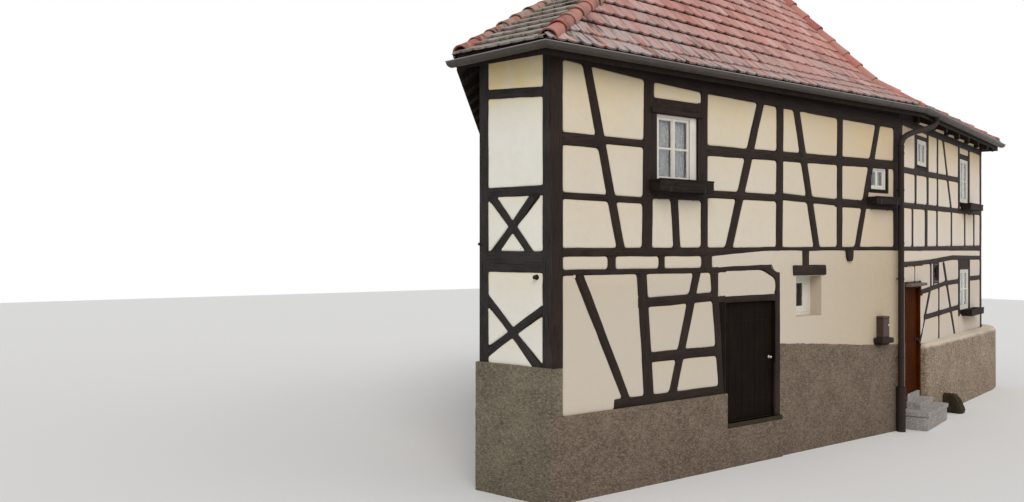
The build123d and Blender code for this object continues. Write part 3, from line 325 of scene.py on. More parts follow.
GUTTER_METAL, BEAD_HIGHLIGHT_METAL, PIPE_METAL, IRON, MAILBOX, SILVER, WINDOW_PAINT, SOFFIT = (
    paint_material(*row) for row in (
        ("gutter_metal", (0.060, 0.049, 0.040), 0.5, (0.125, 0.112, 0.092), 0.2, 0.5),
        # Paler metal of the gutter's rolled rim: a painted highlight along the rim.
        ("gutter_bead_highlight", (0.22, 0.20, 0.195), 0.4, (0.10, 0.09, 0.08), 0.3, 0.4),
        ("pipe_metal", (0.019, 0.010, 0.006), 0.75, (0.045, 0.034, 0.026), 0.1, 0.2),
        ("black_iron", (0.018, 0.017, 0.016), 0.5, (0.07, 0.035, 0.02), 0.6, 0.4),
        ("mailbox_paint", (0.060, 0.033, 0.026), 0.5, (0.12, 0.075, 0.06), 0.2, 0.5),
        ("bright_lock", (0.62, 0.60, 0.58), 0.3, (0.3, 0.29, 0.28), 0.8, 0.3),
        ("window_paint", (0.66, 0.62, 0.55), 0.5, (0.40, 0.36, 0.30)),
        ("soffit_boards", (0.50, 0.47, 0.42), 0.7, (0.25, 0.22, 0.18))))
GLASS = glass_material()
CURTAIN = curtain_material()


# Mesh helpers

def add_piece(name, bm, material, body=HOUSE, smooth=None, outward=True):
    """Puts a finished mesh into the scene on its body, its faces turned outward."""
    if outward:
        bmesh.ops.recalc_face_normals(bm, faces=bm.faces)
    mesh = bpy.data.meshes.new(name)
    bm.to_mesh(mesh)
    bm.free()
    if smooth is not None:
        mesh.shade_smooth()
        mesh.set_sharp_from_angle(angle=math.radians(smooth))
    mesh.materials.append(material)
    obj = bpy.data.objects.new(name, mesh)
    bpy.context.collection.objects.link(obj)
    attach(obj, body)
    return obj


def wobble(point, amount, scale=1.5, seed=0.0):
    return noise.noise_vector(Vector(point) * scale + Vector((seed, seed * 1.7, seed * 0.3))) * amount


def circle(centre, u, v, radius, sides):
    """Points of a circle in the plane of two directions."""
    angles = (math.tau * k / sides for k in range(sides))
    return [centre + (u * math.cos(a) + v * math.sin(a)) * radius for a in angles]


def new_ring(bm, points):
    return [bm.verts.new(p) for p in points]


def loop_faces(bm, rings, close=True):
    """Quads between rings of vertices of equal length."""
    faces = []
    for low, high in zip(rings, rings[1:]):
        count = len(low)
        for i in range(count if close else count - 1):
            j = (i + 1) % count
            faces.append(bm.faces.new((low[i], low[j], high[j], high[i])))
    return faces


def add_box(bm, matrix, low, high, edge=0.004, uv_along=0):
    """Box with chamfered edges and its grain along one axis."""
    verts = bmesh.ops.create_cube(bm, size=1.0)["verts"]
    size = [b - a for a, b in zip(low, high)]
    middle = [(a + b) / 2 for a, b in zip(low, high)]
    for v in verts:
        v.co = Vector([v.co[i] * size[i] + middle[i] for i in range(3)])
    edges = list(dict.fromkeys(e for v in verts for e in v.link_edges))
    if edge:
        result = bmesh.ops.bevel(bm, geom=edges, offset=min(edge, min(size) * 0.4), segments=1, affect="EDGES")
        made = [v for f in result["faces"] for v in f.verts] + [v for v in verts if v.is_valid]
        verts = list(dict.fromkeys(made))
    uv_layer = bm.loops.layers.uv.verify()
    first, second = [i for i in range(3) if i != uv_along]
    shift = (low[0] * 3.1 + low[2] * 1.7) % 5
    for face in {f for v in verts for f in v.link_faces}:
        for loop in face.loops:
            c = loop.vert.co
            loop[uv_layer].uv = (c[uv_along] + shift, c[first] + c[second] + shift)
    for v in verts:
        v.co = matrix @ v.co


def add_tube(bm, points, radius, sides=12):
    """Round bar along points, its rings square to the path."""
    rings = []
    points = [Vector(p) for p in points]
    for i, point in enumerate(points):
        direction = (points[min(i + 1, len(points) - 1)] - points[max(i - 1, 0)]).normalized()
        side = direction.cross(Vector((0, 0, 1)))
        if side.length < 1e-3:
            side = direction.cross(Vector((0, 1, 0)))
        side.normalize()
        rings.append(new_ring(bm, circle(point, side, side.cross(direction), radius, sides)))
    loop_faces(bm, rings)
    bm.faces.new(rings[0])
    bm.faces.new(rings[-1])


def catmull(points, steps=8):
    """Smooth path through a few points."""
    padded = [points[0] * 2 - points[1]] + points + [points[-1] * 2 - points[-2]]
    path = []
    for a, b, c, d in zip(padded, padded[1:], padded[2:], padded[3:]):
        for t in (k / steps for k in range(steps)):
            path.append(0.5 * (2 * b + (c - a) * t + (2 * a - 5 * b + 4 * c - d) * t * t
                               + (3 * b - a - 3 * c + d) * t ** 3))
    return path + [points[-1]]


QUARTERS = (0.0, 0.25, 0.5, 0.75, 1.0)


def rounded_corner(before, here, after, radius, share=0.4, steps=QUARTERS):
    """Points that round off one corner of an outline, over at most a share of its sides."""
    d1, d2 = before - here, after - here
    cut = min(radius, d1.length * share, d2.length * share)
    a, b = here + d1.normalized() * cut, here + d2.normalized() * cut
    return [a * (1 - t) ** 2 + here * 2 * t * (1 - t) + b * t * t for t in steps]


def neighbours(points):
    """Each point of a closed outline between the one before it and the one after it."""
    return zip(points[-1:] + points, points, points[1:] + points[:1])


def divided(points, step):
    """Even points along a path of straight pieces, without its last point."""
    path = []
    for p, q in zip(points, points[1:]):
        pieces = max(1, int((q - p).length / step))
        path += [p.lerp(q, k / pieces) for k in range(pieces)]
    return path


# Plaster panels, shaped from the front faces of the frame's own panel solids

PANEL_DEPTH = 0.012


def front_outlines(node, wall):
    """Outlines, in the wall's own frame, of the street faces of a node's panels."""
    bm = bmesh.new()
    bm.from_mesh(nodes_by_name[node].data)
    bmesh.ops.remove_doubles(bm, verts=bm.verts, dist=1e-5)
    bm.transform(WALLS[wall].inverted())
    bm.normal_update()
    front = {f for f in bm.faces
             if f.normal.y < -0.99 and abs(f.calc_center_median().y - PANEL_DEPTH) < 0.004}
    bmesh.ops.delete(bm, geom=[f for f in bm.faces if f not in front], context="FACES")
    outlines = []
    edges = {e: None for e in bm.edges if len(e.link_faces) == 1}
    while edges:
        edge = next(iter(edges))
        del edges[edge]
        first, current = edge.verts
        loop = [first, current]
        while current is not first:
            step = next((e for e in current.link_edges if e in edges), None)
            if step is None:
                break
            del edges[step]
            current = step.other_vert(current)
            loop.append(current)
        outlines.append([v.co.xz for v in loop[:-1]])
    bm.free()
    return outlines


def area_of(points):
    return 0.5 * sum(p.x * q.y - q.x * p.y for p, q in zip(points, points[1:] + points[:1]))


def resample(points, step, radius):
    """Even points along an outline whose corners are rounded off."""
    rounded = []
    for before, here, after in neighbours(points):
        d1, d2 = before - here, after - here
        if min(d1.length, d2.length) < 1e-6:
            continue
        straight = abs(math.pi - d1.angle(d2)) < 0.08
        rounded += [here] if straight else rounded_corner(before, here, after, radius)
    return divided(rounded + rounded[:1], step)


def inset(points, amount):
    result = []
    for before, here, after in neighbours(points):
        tangent = after - before
        normal = Vector((-tangent.y, tangent.x)).normalized() if tangent.length > 1e-9 else tangent
        result.append(here + normal * amount)
    return result


def fill_ring(bm, ring, matrix):
    """Closes a ring of vertices in a wall's plane with triangles, whatever its outline."""
    inverse = matrix.inverted()
    flat = [inverse @ v.co for v in ring]
    places, _, triangles, sources, _, _ = delaunay_2d_cdt(
        [Vector((p.x, p.z)) for p in flat], [], [list(range(len(flat)))], 1, 1e-5)
    depth = sum(p.y for p in flat) / len(flat)
    vertices = []
    for place, source in zip(places, sources):
        if source:
            vertices.append(ring[source[0]])
        else:
            vertices.append(bm.verts.new(matrix @ Vector((place.x, depth, place.y))))
            for layer in bm.verts.layers.float.values():
                vertices[-1][layer] = ring[0][layer]
    for triangle in triangles:
        corners = [vertices[i] for i in triangle]
        if len(set(corners)) == 3 and bm.faces.get(corners) is None:
            bm.faces.new(corners)


def plaster_panels(name, node, wall, material, grow=0.006, front=-0.002, radius=0.065, move=None, extra=()):
    """Trowelled panels with soft, slightly uneven edges that lap onto the timbers.

    Their outlines are those of the node's panels, moved where asked, and the extra ones.
    """
    bm = bmesh.new()
    edge_layer, warm_layer = (bm.verts.layers.float.new(layer) for layer in ("edge", "warm"))
    outlines = front_outlines(node, wall) if node else []
    outlines = [[move(p) for p in outline] if move else outline for outline in outlines]
    for number, outline in enumerate(outlines + [[Vector(p) for p in outline] for outline in extra]):
        area = abs(area_of(outline))
        if area < 0.004:
            continue
        if area_of(outline) < 0:
            outline.reverse()
        points = resample(outline, 0.045, min(radius, math.sqrt(area) * 0.2))
        seed = number * 2.3 + wall * 11.0
        top = max(p.y for p in points)
        low = min(p.y for p in points)
        uneven = [p + (wobble((p.x, seed, p.y), 0.007, 3.0) + wobble((p.x, seed, p.y), 0.003, 14.0)).xz
                  for p in points]
        length = sum((q - p).length for p, q in zip(points, points[1:] + points[:1]))
        slim = min(1.0, 2 * area / length / 0.09)
        rings = []
        # edge sets how much painted shade the plaster material puts on each ring, most where the plaster rolls
        # into the joint.
        for amount, depth, edge in (
                (-grow, 0.014, 1.0), (-grow, front + 0.007, 1.0), (0.003, front + 0.001, 0.7),
                (0.014 * slim, front - 0.002, 0.2), (0.034 * slim, front - 0.003, 0.0)):
            ring = []
            for p in inset(uneven, amount):
                swell = 0.0025 * rough(p.x * 3, seed, p.y * 3)
                v = bm.verts.new(WALLS[wall] @ Vector((p.x, depth + swell, p.y)))
                v[edge_layer] = edge
                v[warm_layer] = max(0.0, 1.0 - (top - p.y) / (0.35 * (top - low) + 0.12)) * 0.75
                ring.append(v)
            rings.append(ring)
        loop_faces(bm, rings)
        fill_ring(bm, rings[-1], WALLS[wall])
    return add_piece(name, bm, material, smooth=40)


# Roof tiles

def plane_basis(points):
    """Level and uphill directions of a roof face, and its outward normal."""
    a, b, c = points[:3]
    normal = (b - a).cross(c - a).normalized()
    if normal.z < 0:
        normal = -normal
    level = Vector((-normal.y, normal.x, 0)).normalized()
    up = normal.cross(level)
    if up.z < 0:
        level, up = -level, -up
    return level, up, normal


TILE_WIDTH, TILE_ROW, TILE_THICK = 0.235, 0.365, 0.040
TILE_LENGTH = TILE_ROW * 1.22
TILE_JOINT = 0.004
TILE_OVERHANG = 0.055
# shade is each tile's own tone, patina its dark growth, and tail the place along it that the painted shadow
# under each row follows.
TILE_LAYERS = ("shade", "patina", "tail")
# Rounded tail of a tile, as (share of the width, distance uphill)
TILE_TAIL = [(-0.5, 0.038), (-0.46, 0.023), (-0.36, 0.008), (-0.2, -0.005), (0.0, -0.010)]
TILE_TAIL += [(-x, y) for x, y in TILE_TAIL[3::-1]]


def add_tile(bm, origin, level, up, normal, tilt, layers, shade, patina):
    """Plain tile with a rounded tail, lying on the row below."""
    width = TILE_WIDTH - TILE_JOINT
    top, bottom = [], []
    for x, y in TILE_TAIL:
        at = origin + level * (x * width) + up * y
        lift = normal * (TILE_THICK + 0.008 + tilt * x)
        top.append(bm.verts.new(at + lift))
        bottom.append(bm.verts.new(at + lift - normal * TILE_THICK))
    back = new_ring(bm, [origin + level * (x * width) + up * TILE_LENGTH + normal * (0.006 + tilt * x * 0.5)
                         for x in (0.5, 0.0, -0.5)])
    # tail is 0 at the tile's visible tail and 1 at its butt's lower edge and its hidden upper end; the tile
    # material paints shadow by it.
    for v in top + bottom + back:
        v[layers[0]], v[layers[1]], v[layers[2]] = shade, patina, 0.0 if v in top else 1.0
    bm.faces.new(top + back)
    for i in range(len(top) - 1):
        bm.faces.new((bottom[i], bottom[i + 1], top[i + 1], top[i]))
    bm.faces.new((bottom[0], top[0], back[2]))
    bm.faces.new((top[-1], bottom[-1], back[0]))


def cut_flat(bm, point, outward):
    """Takes away what lies beyond a plane."""
    bmesh.ops.bisect_plane(bm, geom=bm.verts[:] + bm.edges[:] + bm.faces[:], plane_co=point, plane_no=outward,
                           clear_outer=True)


ROW_SHIFTS = [rng.uniform(-0.12, 0.12) - 0.05 * i for i in range(80)]


def settled(p, at, normal):
    """The point straight above or below on a plane."""
    return Vector((p.x, p.y, at.z - ((p.x - at.x) * normal.x + (p.y - at.y) * normal.y) / normal.z))


def settled_on(p, flats):
    """The point straight above or below on the highest of some flats."""
    return max((settled(p, face[0], plane_basis(face)[2]) for face in flats), key=lambda q: q.z)


def tile_rows(part, points, first, row, lowest, patina_at, bend, flats=None):
    """Rows of tiles that cover one flat of the roof, and more on all its sides.

    With flats, the rows run on over the crease between them: each tile rests on its tail and on the next row.
    """
    layers = [part.verts.layers.float.new(layer) for layer in TILE_LAYERS]
    level, up, flat = plane_basis(flats[0] if flats else points)
    base = points[0] - level * (points[0] - first).dot(level)
    us = [(c - base).dot(level) for c in points]
    top = max((c - base).dot(up) for c in points)
    for index in range(-1 if row else 0, math.ceil((top - lowest) / TILE_ROW) + 2):
        v = lowest + index * TILE_ROW
        shift = ROW_SHIFTS[row + index]
        for k in range(math.floor(min(us) / TILE_WIDTH) - 2, math.ceil(max(us) / TILE_WIDTH) + 2):
            u = (k + shift) * TILE_WIDTH
            drop, slope = bend(u, v + TILE_OVERHANG)
            high = v + drop + 0.012 * rough(u * 0.5, shift * 80)
            if high > top + 0.1:
                continue
            turned = (level + up * slope).normalized()
            rise = (up - level * slope).normalized()
            origin = base + level * u + up * high
            if flats:
                origin, ahead, beside = (settled_on(p, flats) for p in
                                         (origin, origin + rise * TILE_ROW, origin + turned * 0.2))
                turned = (beside - origin).normalized()
                rise = ahead - origin
                rise = (rise - turned * rise.dot(turned)).normalized()
                flat = turned.cross(rise)
            own = random.Random((row + index) * 4099 + k)
            shade = min(1.0, max(0.0, own.gauss(0.5, 0.22)))
            add_tile(part, origin, turned, rise, flat, own.uniform(-0.008, 0.008), layers, shade,
                     patina_at(origin))


def no_bend(u, v):
    return 0.0, 0.0


def pour(part, bm):
    """Adds one mesh in work to another, and frees it."""
    mesh = bpy.data.meshes.new("part")
    part.to_mesh(mesh)
    part.free()
    bm.from_mesh(mesh)
    bpy.data.meshes.remove(mesh)


def tile_face(name, faces, material, patina_at, bend=no_bend, flats=None):
    """Rows of tiles over one roof side, cut along its hips and creases."""
    bm = bmesh.new()
    for layer in TILE_LAYERS:
        bm.verts.layers.float.new(layer)
    row, lowest = 0, -TILE_OVERHANG
    for number, points in enumerate(faces):
        whole = bmesh.new()
        tile_rows(whole, points, faces[0][0], row, lowest, patina_at, bend, flats)
        if number + 1 < len(faces):
            upper = min(faces[number + 1], key=lambda p: p.z)
            reach = (upper - points[0]).dot(plane_basis(points)[1])
            count = max(1, math.ceil((reach - lowest) / TILE_ROW))
            row, lowest = row + count, lowest + count * TILE_ROW - reach
        for triangle in tessellate_polygon([[Vector((p.x, p.y, 0)) for p in points]]):
            part = whole.copy()
            inner = sum((points[i] for i in triangle), Vector()) / 3
            for a, b in zip(triangle, triangle[1:] + triangle[:1]):
                start, stop = points[a], points[b]
                edge = stop - start
                flat = Vector((edge.y, -edge.x, 0)).normalized()
                if flat.dot(inner - start) > 0:
                    flat = -flat
                if abs(edge.z) < 1e-5 and start.z < EAVE_HEIGHT + 0.01:
                    lip = whole.copy()
                    cut_flat(lip, start, -flat)
                    cut_flat(lip, start - edge.normalized() * 0.02, -edge)
                    cut_flat(lip, stop + edge.normalized() * 0.02, edge)
                    pour(lip, bm)
                cut_flat(part, start, flat)
            pour(part, bm)
        whole.free()
    return add_piece(name, bm, material, outward=False)


def roof_outline(node):
    """Upward faces of a roof solid as lists of corners, eave side first."""
    bm = bmesh.new()
    bm.from_mesh(nodes_by_name[node].data)
    bmesh.ops.remove_doubles(bm, verts=bm.verts, dist=1e-4)
    bmesh.ops.dissolve_limit(bm, angle_limit=0.01, verts=bm.verts, edges=bm.edges)
    tops = [[v.co.copy() for v in face.verts] for face in bm.faces if face.normal.z > 0.2]
    bm.free()
    result = []
    for face in sorted(tops, key=lambda f: min(p.z for p in f)):
        low = min(range(len(face)), key=lambda i: face[i].z + face[(i + 1) % len(face)].z)
        result.append(face[low:] + face[:low])
    return result


ROOF = {name: roof_outline(name) for name in ROOF_NODES}


def front_patina(p):
    """More dark growth low down and to the left of the main slope."""
    low = max(0.0, 1.0 - (p.z - EAVE_HEIGHT) / 1.1)
    left = max(0.0, 1.0 - p.x / 4.5)
    return min(1.0, 0.15 + 0.55 * low * low + 0.45 * left * (0.4 + 0.6 * low) + 0.25 * noise.noise(p * 0.9))


def plain_patina(p):
    low = max(0.0, 1.0 - (p.z - EAVE_HEIGHT) / 1.5)
    return min(1.0, 0.3 + 0.5 * low + 0.3 * noise.noise(p * 0.8))


skirt, upper = ROOF["roof_front"]


def eave_turn():
    """The slant of the front's eave, seen in the upper flat's own directions."""
    level, up, normal = plane_basis(upper)
    eave = settled(Vector((1, 0, 0)), Vector((0, 0, 0)), normal)
    return -eave.dot(up) / eave.dot(level)


EAVE_TURN = eave_turn()
BEND_START, BEND_LENGTH, BEND = 2.5, 6.0, 0.16


def front_bend(u, v):
    """The front's rows swing down towards its right hip, and meet the rows of the flat below the crease."""
    share = max(0.0, u - BEND_START) / BEND_LENGTH
    return -EAVE_TURN * u - BEND * v * share ** 2, -EAVE_TURN - 2 * BEND * v * share / BEND_LENGTH


tile_face("tiles_front", [[skirt[0], skirt[1], skirt[2], upper[2]]], TILES_RED, front_patina, front_bend,
          (upper, skirt))
tile_face("tiles_left", ROOF["roof_left"], TILES_GREY, lambda p: 0.75 + 0.3 * noise.noise(p))
for side in ("lane", "end", "rear", "rear_left"):
    tile_face("tiles_" + side, ROOF["roof_" + side], TILES_RED, plain_patina)

HIP_RADIUS, HIP_LENGTH = 0.128, 0.40


def add_hip_tile(bm, start, stop, layers, shade, patina):
    """Half-round hip tile, wider at its lower end."""
    along = (stop - start).normalized()
    side = along.cross(Vector((0, 0, 1))).normalized()
    up = side.cross(along)
    rings = []
    for t, scale in ((0.0, 1.13), (0.04, 1.15), (0.12, 1.1), (0.5, 1.0), (1.15, 0.88)):
        angles = [math.pi * (j / 10 * 1.16 - 0.08) for j in range(11)]
        rings.append(new_ring(bm, [start.lerp(stop, t) + (side * math.cos(a) + up * (math.sin(a) * 0.92))
                                   * HIP_RADIUS * scale for a in angles]))
    inner, inner_back = (new_ring(bm, [start + along * ahead + (v.co - start) * size for v in rings[0]])
                         for ahead, size in ((0.01, 0.84), (0.1, 0.80)))
    for v in sum(rings, inner + inner_back):
        v[layers[0]], v[layers[1]] = shade, patina
    loop_faces(bm, rings, close=False)
    loop_faces(bm, [inner_back, inner, rings[0]], close=False)


def hip_run(name, points, patina):
    bm = bmesh.new()
    layers = [bm.verts.layers.float.new(layer) for layer in TILE_LAYERS]
    for start, stop in zip(points, points[1:]):
        count = max(1, round((stop - start).length / HIP_LENGTH))
        for k in range(count):
            a, b = start.lerp(stop, k / count), start.lerp(stop, (k + 1) / count)
            jog = Vector([rng.uniform(*reach) for reach in ((-0.01, 0.01), (-0.01, 0.01), (-0.004, 0.01))])
            add_hip_tile(bm, a + jog, b + jog, layers, rng.random(),
                         min(1, max(0, patina + rng.uniform(-0.25, 0.25))))
    return add_piece(name, bm, HIP_CLAY, smooth=45, outward=False)


def shared_hip(one, two):
    """Shared hip of two roof sides, from its eave corner up to the tip."""
    first, second = ({tuple(round(c, 3) for c in p) for face in ROOF[name] for p in face}
                     for name in (one, two))
    return [Vector(p) for p in sorted(first & second, key=lambda p: p[2])]


for one, two, amount in (("left", "front", 0.5), ("front", "lane", 0.12), ("lane", "end", 0.3),
                         ("end", "rear", 0.3), ("rear", "rear_left", 0.4), ("rear_left", "left", 0.7)):
    corners = shared_hip("roof_" + one, "roof_" + two)
    corners[0] = corners[0].lerp(corners[1], 0.01) - Vector((0, 0, 0.03))
    if one == "front":
        corners[0].z -= 0.07
        corners.insert(1, corners[0].lerp(corners[1], 0.5) + Vector((0, 0, 0.005)))
    hip_run("hip_" + one + "_" + two, corners, amount)


# Wall panels of plaster

LEFT_POSTS, LEFT_RAIL, LEFT_TOP = (0.3, 1.0), 5.66, 6.225


def widened(p):
    """The left wall's panels reach over its posts, slope with its upper rail and end at the eave."""
    s = p.x - 0.045 if p.x < LEFT_POSTS[0] else (p.x + 0.065 if p.x > LEFT_POSTS[1] else p.x)
    z = p.y + (0.0 if abs(p.y - LEFT_RAIL) > 0.15 else 0.03 - 0.065 * (s - 0.15))
    return Vector((s, LEFT_TOP if p.y > LEFT_TOP - 0.225 else z))


for name, wall, material, fit in (
        ("front_upper", FRONT, PLASTER, ()), ("front_lower", FRONT, PLASTER, ()),
        ("left", LEFT, PLASTER_COOL, (0.006, -0.005, 0.035, widened)),
        ("lane_upper", LANE, PLASTER_LANE, ()), ("lane_lower", LANE, PLASTER_LANE, ())):
    plaster_panels("plaster_" + name, "infill_" + name, wall, material, *fit)
plaster_panels("plaster_entrance", None, LANE, PLASTER_LANE, 0.0, -0.007, 0.04, None, (
    [(0.235, 2.835), (1.083, 2.835), (1.083, 3.140), (0.235, 3.130)],
    [(1.135, 2.835), (1.62, 2.835), (1.62, 2.655), (2.335, 2.695), (2.335, 3.150), (1.135, 3.140)],
    [(0.222, 3.235), (1.6, 3.250), (2.35, 3.270), (4.36, 3.345), (7.355, 3.325), (7.355, 3.458),
     (0.222, 3.450)],
    [(1.548, 1.535), (1.80, 1.535), (1.80, 2.535), (1.548, 2.525)],
))
plaster_panels("plaster_apron", None, LANE, PLASTER_LANE, 0.0, -0.012, 0.02, None, (
    [(4.945, 1.51), (7.35, 1.51), (7.35, 1.915), (4.945, 1.915)],))


# Hewn timbers over the frame's solids. Lists are in millimetres along the wall and up,
# each timber as stations (along, up, width).

def add_path_timber(bm, matrix, stations, front=-0.006, depth=0.03, seed=0.0, bow=0.010, edge=0.011):
    """A hewn timber along stations (along, up, width): worn edges, a slight bow, its grain laid along it."""
    uv_layer = bm.loops.layers.uv.verify()
    points = []
    for (x0, z0, w0), (x1, z1, w1) in zip(stations, stations[1:]):
        pieces = max(1, int(math.hypot(x1 - x0, z1 - z0) / 0.13))
        for t in (k / pieces for k in range(pieces)):
            points.append((x0 + (x1 - x0) * t, z0 + (z1 - z0) * t, w0 + (w1 - w0) * t))
    points.append(stations[-1])
    rings, where, run = [], {}, 0.0
    for k, (x, z, width) in enumerate(points):
        x0, z0, _ = points[max(k - 1, 0)]
        x1, z1, _ = points[min(k + 1, len(points) - 1)]
        along = Vector((x1 - x0, z1 - z0)).normalized()
        across = Vector((-along.y, along.x))
        run += math.hypot(x - x0, z - z0)
        half = width / 2
        profile = [(-half, depth), (-half, front + edge), (-half + edge * 0.35, front + edge * 0.3),
                   (-half + edge, front), (0.0, front - 0.0015), (half - edge, front),
                   (half - edge * 0.35, front + edge * 0.3), (half, front + edge), (half, depth)]
        sway = rough(run * 1.1, seed * 3.17) * bow
        sides = [rough(run * 2.6, seed * 3.17, c) * 0.009 for c in (5.0, 9.0)]
        ring, girth, last = [], 0.0, profile[0]
        for index, (a, y) in enumerate(profile):
            girth += math.hypot(a - last[0], y - last[1])
            last = (a, y)
            swell = 0.0015 * rough(run * 6.0, index * 1.7, seed)
            flat = Vector((x, z)) + across * (a + sway + sides[0 if a > 0 else 1])
            ring.append(bm.verts.new(matrix @ Vector((flat.x, y + swell, flat.y))))
            where[ring[-1]] = (run + seed * 3.17, girth + seed * 2.2)
        rings.append(ring)
    for face in loop_faces(bm, rings, close=False) + [bm.faces.new(rings[0]), bm.faces.new(rings[-1])]:
        for loop in face.loops:
            loop[uv_layer].uv = where[loop.vert]


def timbers(name, wall, material, items):
    """One wall's timbers. Each item is (front in mm, stations) and its seed is its place in the list."""
    bm = bmesh.new()
    for number, (front, stations) in enumerate(items):
        metres = [tuple(c / 1000 for c in station) for station in stations]
        add_path_timber(bm, WALLS[wall], metres, -front / 1000, seed=number * 1.31 + wall * 7.7)
    return add_piece(name, bm, material, smooth=35)


def level(low, high, start, stop):
    """Stations of a level timber between two heights."""
    return [(start, (low + high) / 2, high - low), (stop, (low + high) / 2, high - low)]


def post(left, right, low, high):
    return [((left + right) / 2, low, right - left), ((left + right) / 2, high, right - left)]


def slant(s0, z0, s1, z1, width):
    return [(s0, z0, width), (s1, z1, width)]


def between(stations, at):
    """Value at a place between stations of (place, value)."""
    for (x0, v0), (x1, v1) in zip(stations, stations[1:]):
        if x0 <= at <= x1:
            return v0 + (v1 - v0) * (at - x0) / (x1 - x0)
    return stations[0][1] if at < stations[0][0] else stations[-1][1]


SILL, UPRIGHT_LENGTH = 3490, 2510
PLATE_UNDERSIDE = [(0, 6070), (210, 6070), (1845, 5965), (3110, 5907), (6745, 5820), (8740, 5795)]


def upper_upright(foot, head, width, front):
    """Post or brace of the front's upper storey, from its sill to the plate."""
    top = between(PLATE_UNDERSIDE, head) + 25
    stop = foot + (head - foot) * (top - SILL) / UPRIGHT_LENGTH
    return (front, [(foot, SILL - 10, width), (stop, top, width)])


FRONT_UPPER = [
    (9, [(-7, 6145, 150), (210, 6145, 150), (1845, 6055, 180), (3110, 6010, 206), (6745, 5940, 240),
         (8530, 5925, 260), (8747, 5925, 260)]),
    (9, [(200, 3430, 120), (3290, 3430, 120), (4780, 3490, 62), (8540, 3495, 68)]),
    (8, post(-7, 210, 1850, 6075)),
    (8, post(8530, 8747, 3462, 5800)),
    upper_upright(1845, 1890, 210, 8.5), upper_upright(3110, 3110, 160, 8.5),
    upper_upright(5000, 5020, 185, 8.5), upper_upright(6745, 6765, 170, 8.5),
    upper_upright(1310, 665, 160, 6.5), upper_upright(3695, 4540, 180, 6.5),
    upper_upright(6065, 5440, 180, 6.5), upper_upright(7300, 8050, 160, 6.5),
    (7.5, level(4900, 5080, 205, 860)), (7, slant(800, 5020, 1860, 5025, 110)),
    (7.5, slant(3100, 5020, 8535, 5095, 165)), (7.5, slant(205, 4210, 1860, 4190, 95)),
    (7.5, level(4280, 4400, 3100, 5010)), (7.5, slant(4990, 4370, 6755, 4315, 115)),
    (7.5, slant(6740, 4315, 8535, 4300, 150)), (7, slant(2490, 3480, 2425, 4260, 155)),
]
FRONT_LOWER = [
    (8, level(1180, 1320, 1180, 3470)), (8.5, level(3110, 3190, 205, 3620)),
    (8, [(3537, 1180, 155), (3453, 2733, 324)]), (8.3, [(3363, 2700, 154), (3340, 3195, 200)]),
    (6.5, slant(1430, 1290, 520, 3115, 140)), (7.5, slant(1885, 1300, 1735, 3115, 205)),
    (6.5, slant(2400, 1310, 2940, 3115, 165)), (7.2, slant(1790, 2690, 3310, 2730, 140)),
    (7.2, level(1800, 1950, 1840, 3460)),
    (9.5, post(1050, 1210, 3185, 3375)), (9.5, post(2090, 2220, 3185, 3375)),
    (9.5, post(3040, 3290, 3185, 3375)),
    (8, post(4890, 5020, 702, 3090)), (7.5, level(2620, 2730, 3610, 4895)),
    (11, [(3420, 3160, 75), (4500, 3185, 90), (4780, 3175, 95)]),
    (10.5, [(4600, 3160, 60), (4780, 3110, 110), (4920, 3020, 110)]),
]
LEFT_TIMBERS = [
    (8, post(1158, 1307, 1850, 6230)), (8, post(-7, 166, 1850, 6230)),
    (8.5, level(3220, 3450, 150, 1170)), (7.5, level(3150, 3230, 150, 1170)),
    (6.5, slant(100, 2840, 1110, 1800, 120)), (6, slant(150, 1976, 1160, 2674, 120)),
    (7.5, level(4210, 4350, 150, 1170)), (7.5, [(150, 5690, 140), (640, 5672, 135), (1170, 5626, 140)]),
    (6.5, slant(255, 4207, 1000, 3360, 120)), (6, slant(290, 3418, 985, 4200, 120)),
]
LANE_UPPER = [
    (8, post(-7, 210, 3462, 5905)), (8, post(7360, 7577, 1500, 5905)),
    (9, level(5895, 6050, 200, 7370)), (9, [(200, 3495, 70), (7370, 3525, 130)]),
    (7.5, slant(205, 5030, 5000, 5120, 120)), (7.5, slant(205, 4345, 7365, 4420, 110)),
    (6.5, slant(3500, 5900, 4260, 4400, 150)),
] + [(8.5, post(s - w / 2, s + w / 2, 4330, 5900)) for s, w in
     ((1180, 150), (2140, 160), (2990, 130), (5040, 180), (6110, 180))] + [
    (8, post(s - w / 2, s + w / 2, 3500, 4400)) for s, w in
    ((950, 130), (2020, 220), (2950, 130), (4290, 140), (5660, 140), (6680, 140))]
LANE_LOWER = [
    (10.5, [(215, 3182, 85), (1605, 3202, 90), (2350, 3222, 95), (4360, 3297, 105), (7365, 3277, 95)]),
    (7.5, slant(1605, 2600, 3690, 2725, 100)), (7.5, slant(3680, 2725, 5050, 2740, 105)),
    (7.5, slant(1900, 2065, 5050, 2130, 110)), (8, post(2340, 2480, 2690, 3180)),
    (8, post(3060, 3160, 1500, 2700)), (8.5, post(4960, 5130, 1500, 3300)), (8.5, post(6080, 6230, 1500, 3300)),
    (7.5, level(2720, 2830, 6225, 7365)), (8, post(2600, 2680, 2690, 3200)), (8, post(3060, 3120, 2690, 3210)),
    (6.5, slant(3570, 3160, 4640, 1470, 140)), (10.5, slant(2310, 2580, 1490, 1560, 110)),
    (9, post(1083, 1135, 2815, 3160)),
]
for name, wall, material, items in (
        ("timbers_front_upper", FRONT, TIMBER, FRONT_UPPER),
        ("timbers_front_lower", FRONT, TIMBER, FRONT_LOWER),
        ("timbers_left", LEFT, TIMBER_GREY, LEFT_TIMBERS),
        ("timbers_lane_upper", LANE, TIMBER, LANE_UPPER), ("timbers_lane_lower", LANE, TIMBER, LANE_LOWER),
        ("stable_door_jamb", FRONT, STABLE_WOOD, [(12, [(3600, 1000, 22), (3527, 2640, 165)])]),
        ("entrance_jamb", LANE, ENTRANCE_WOOD, [(9, post(1494, 1552, 600, 2735))])):
    timbers(name, wall, material, items)


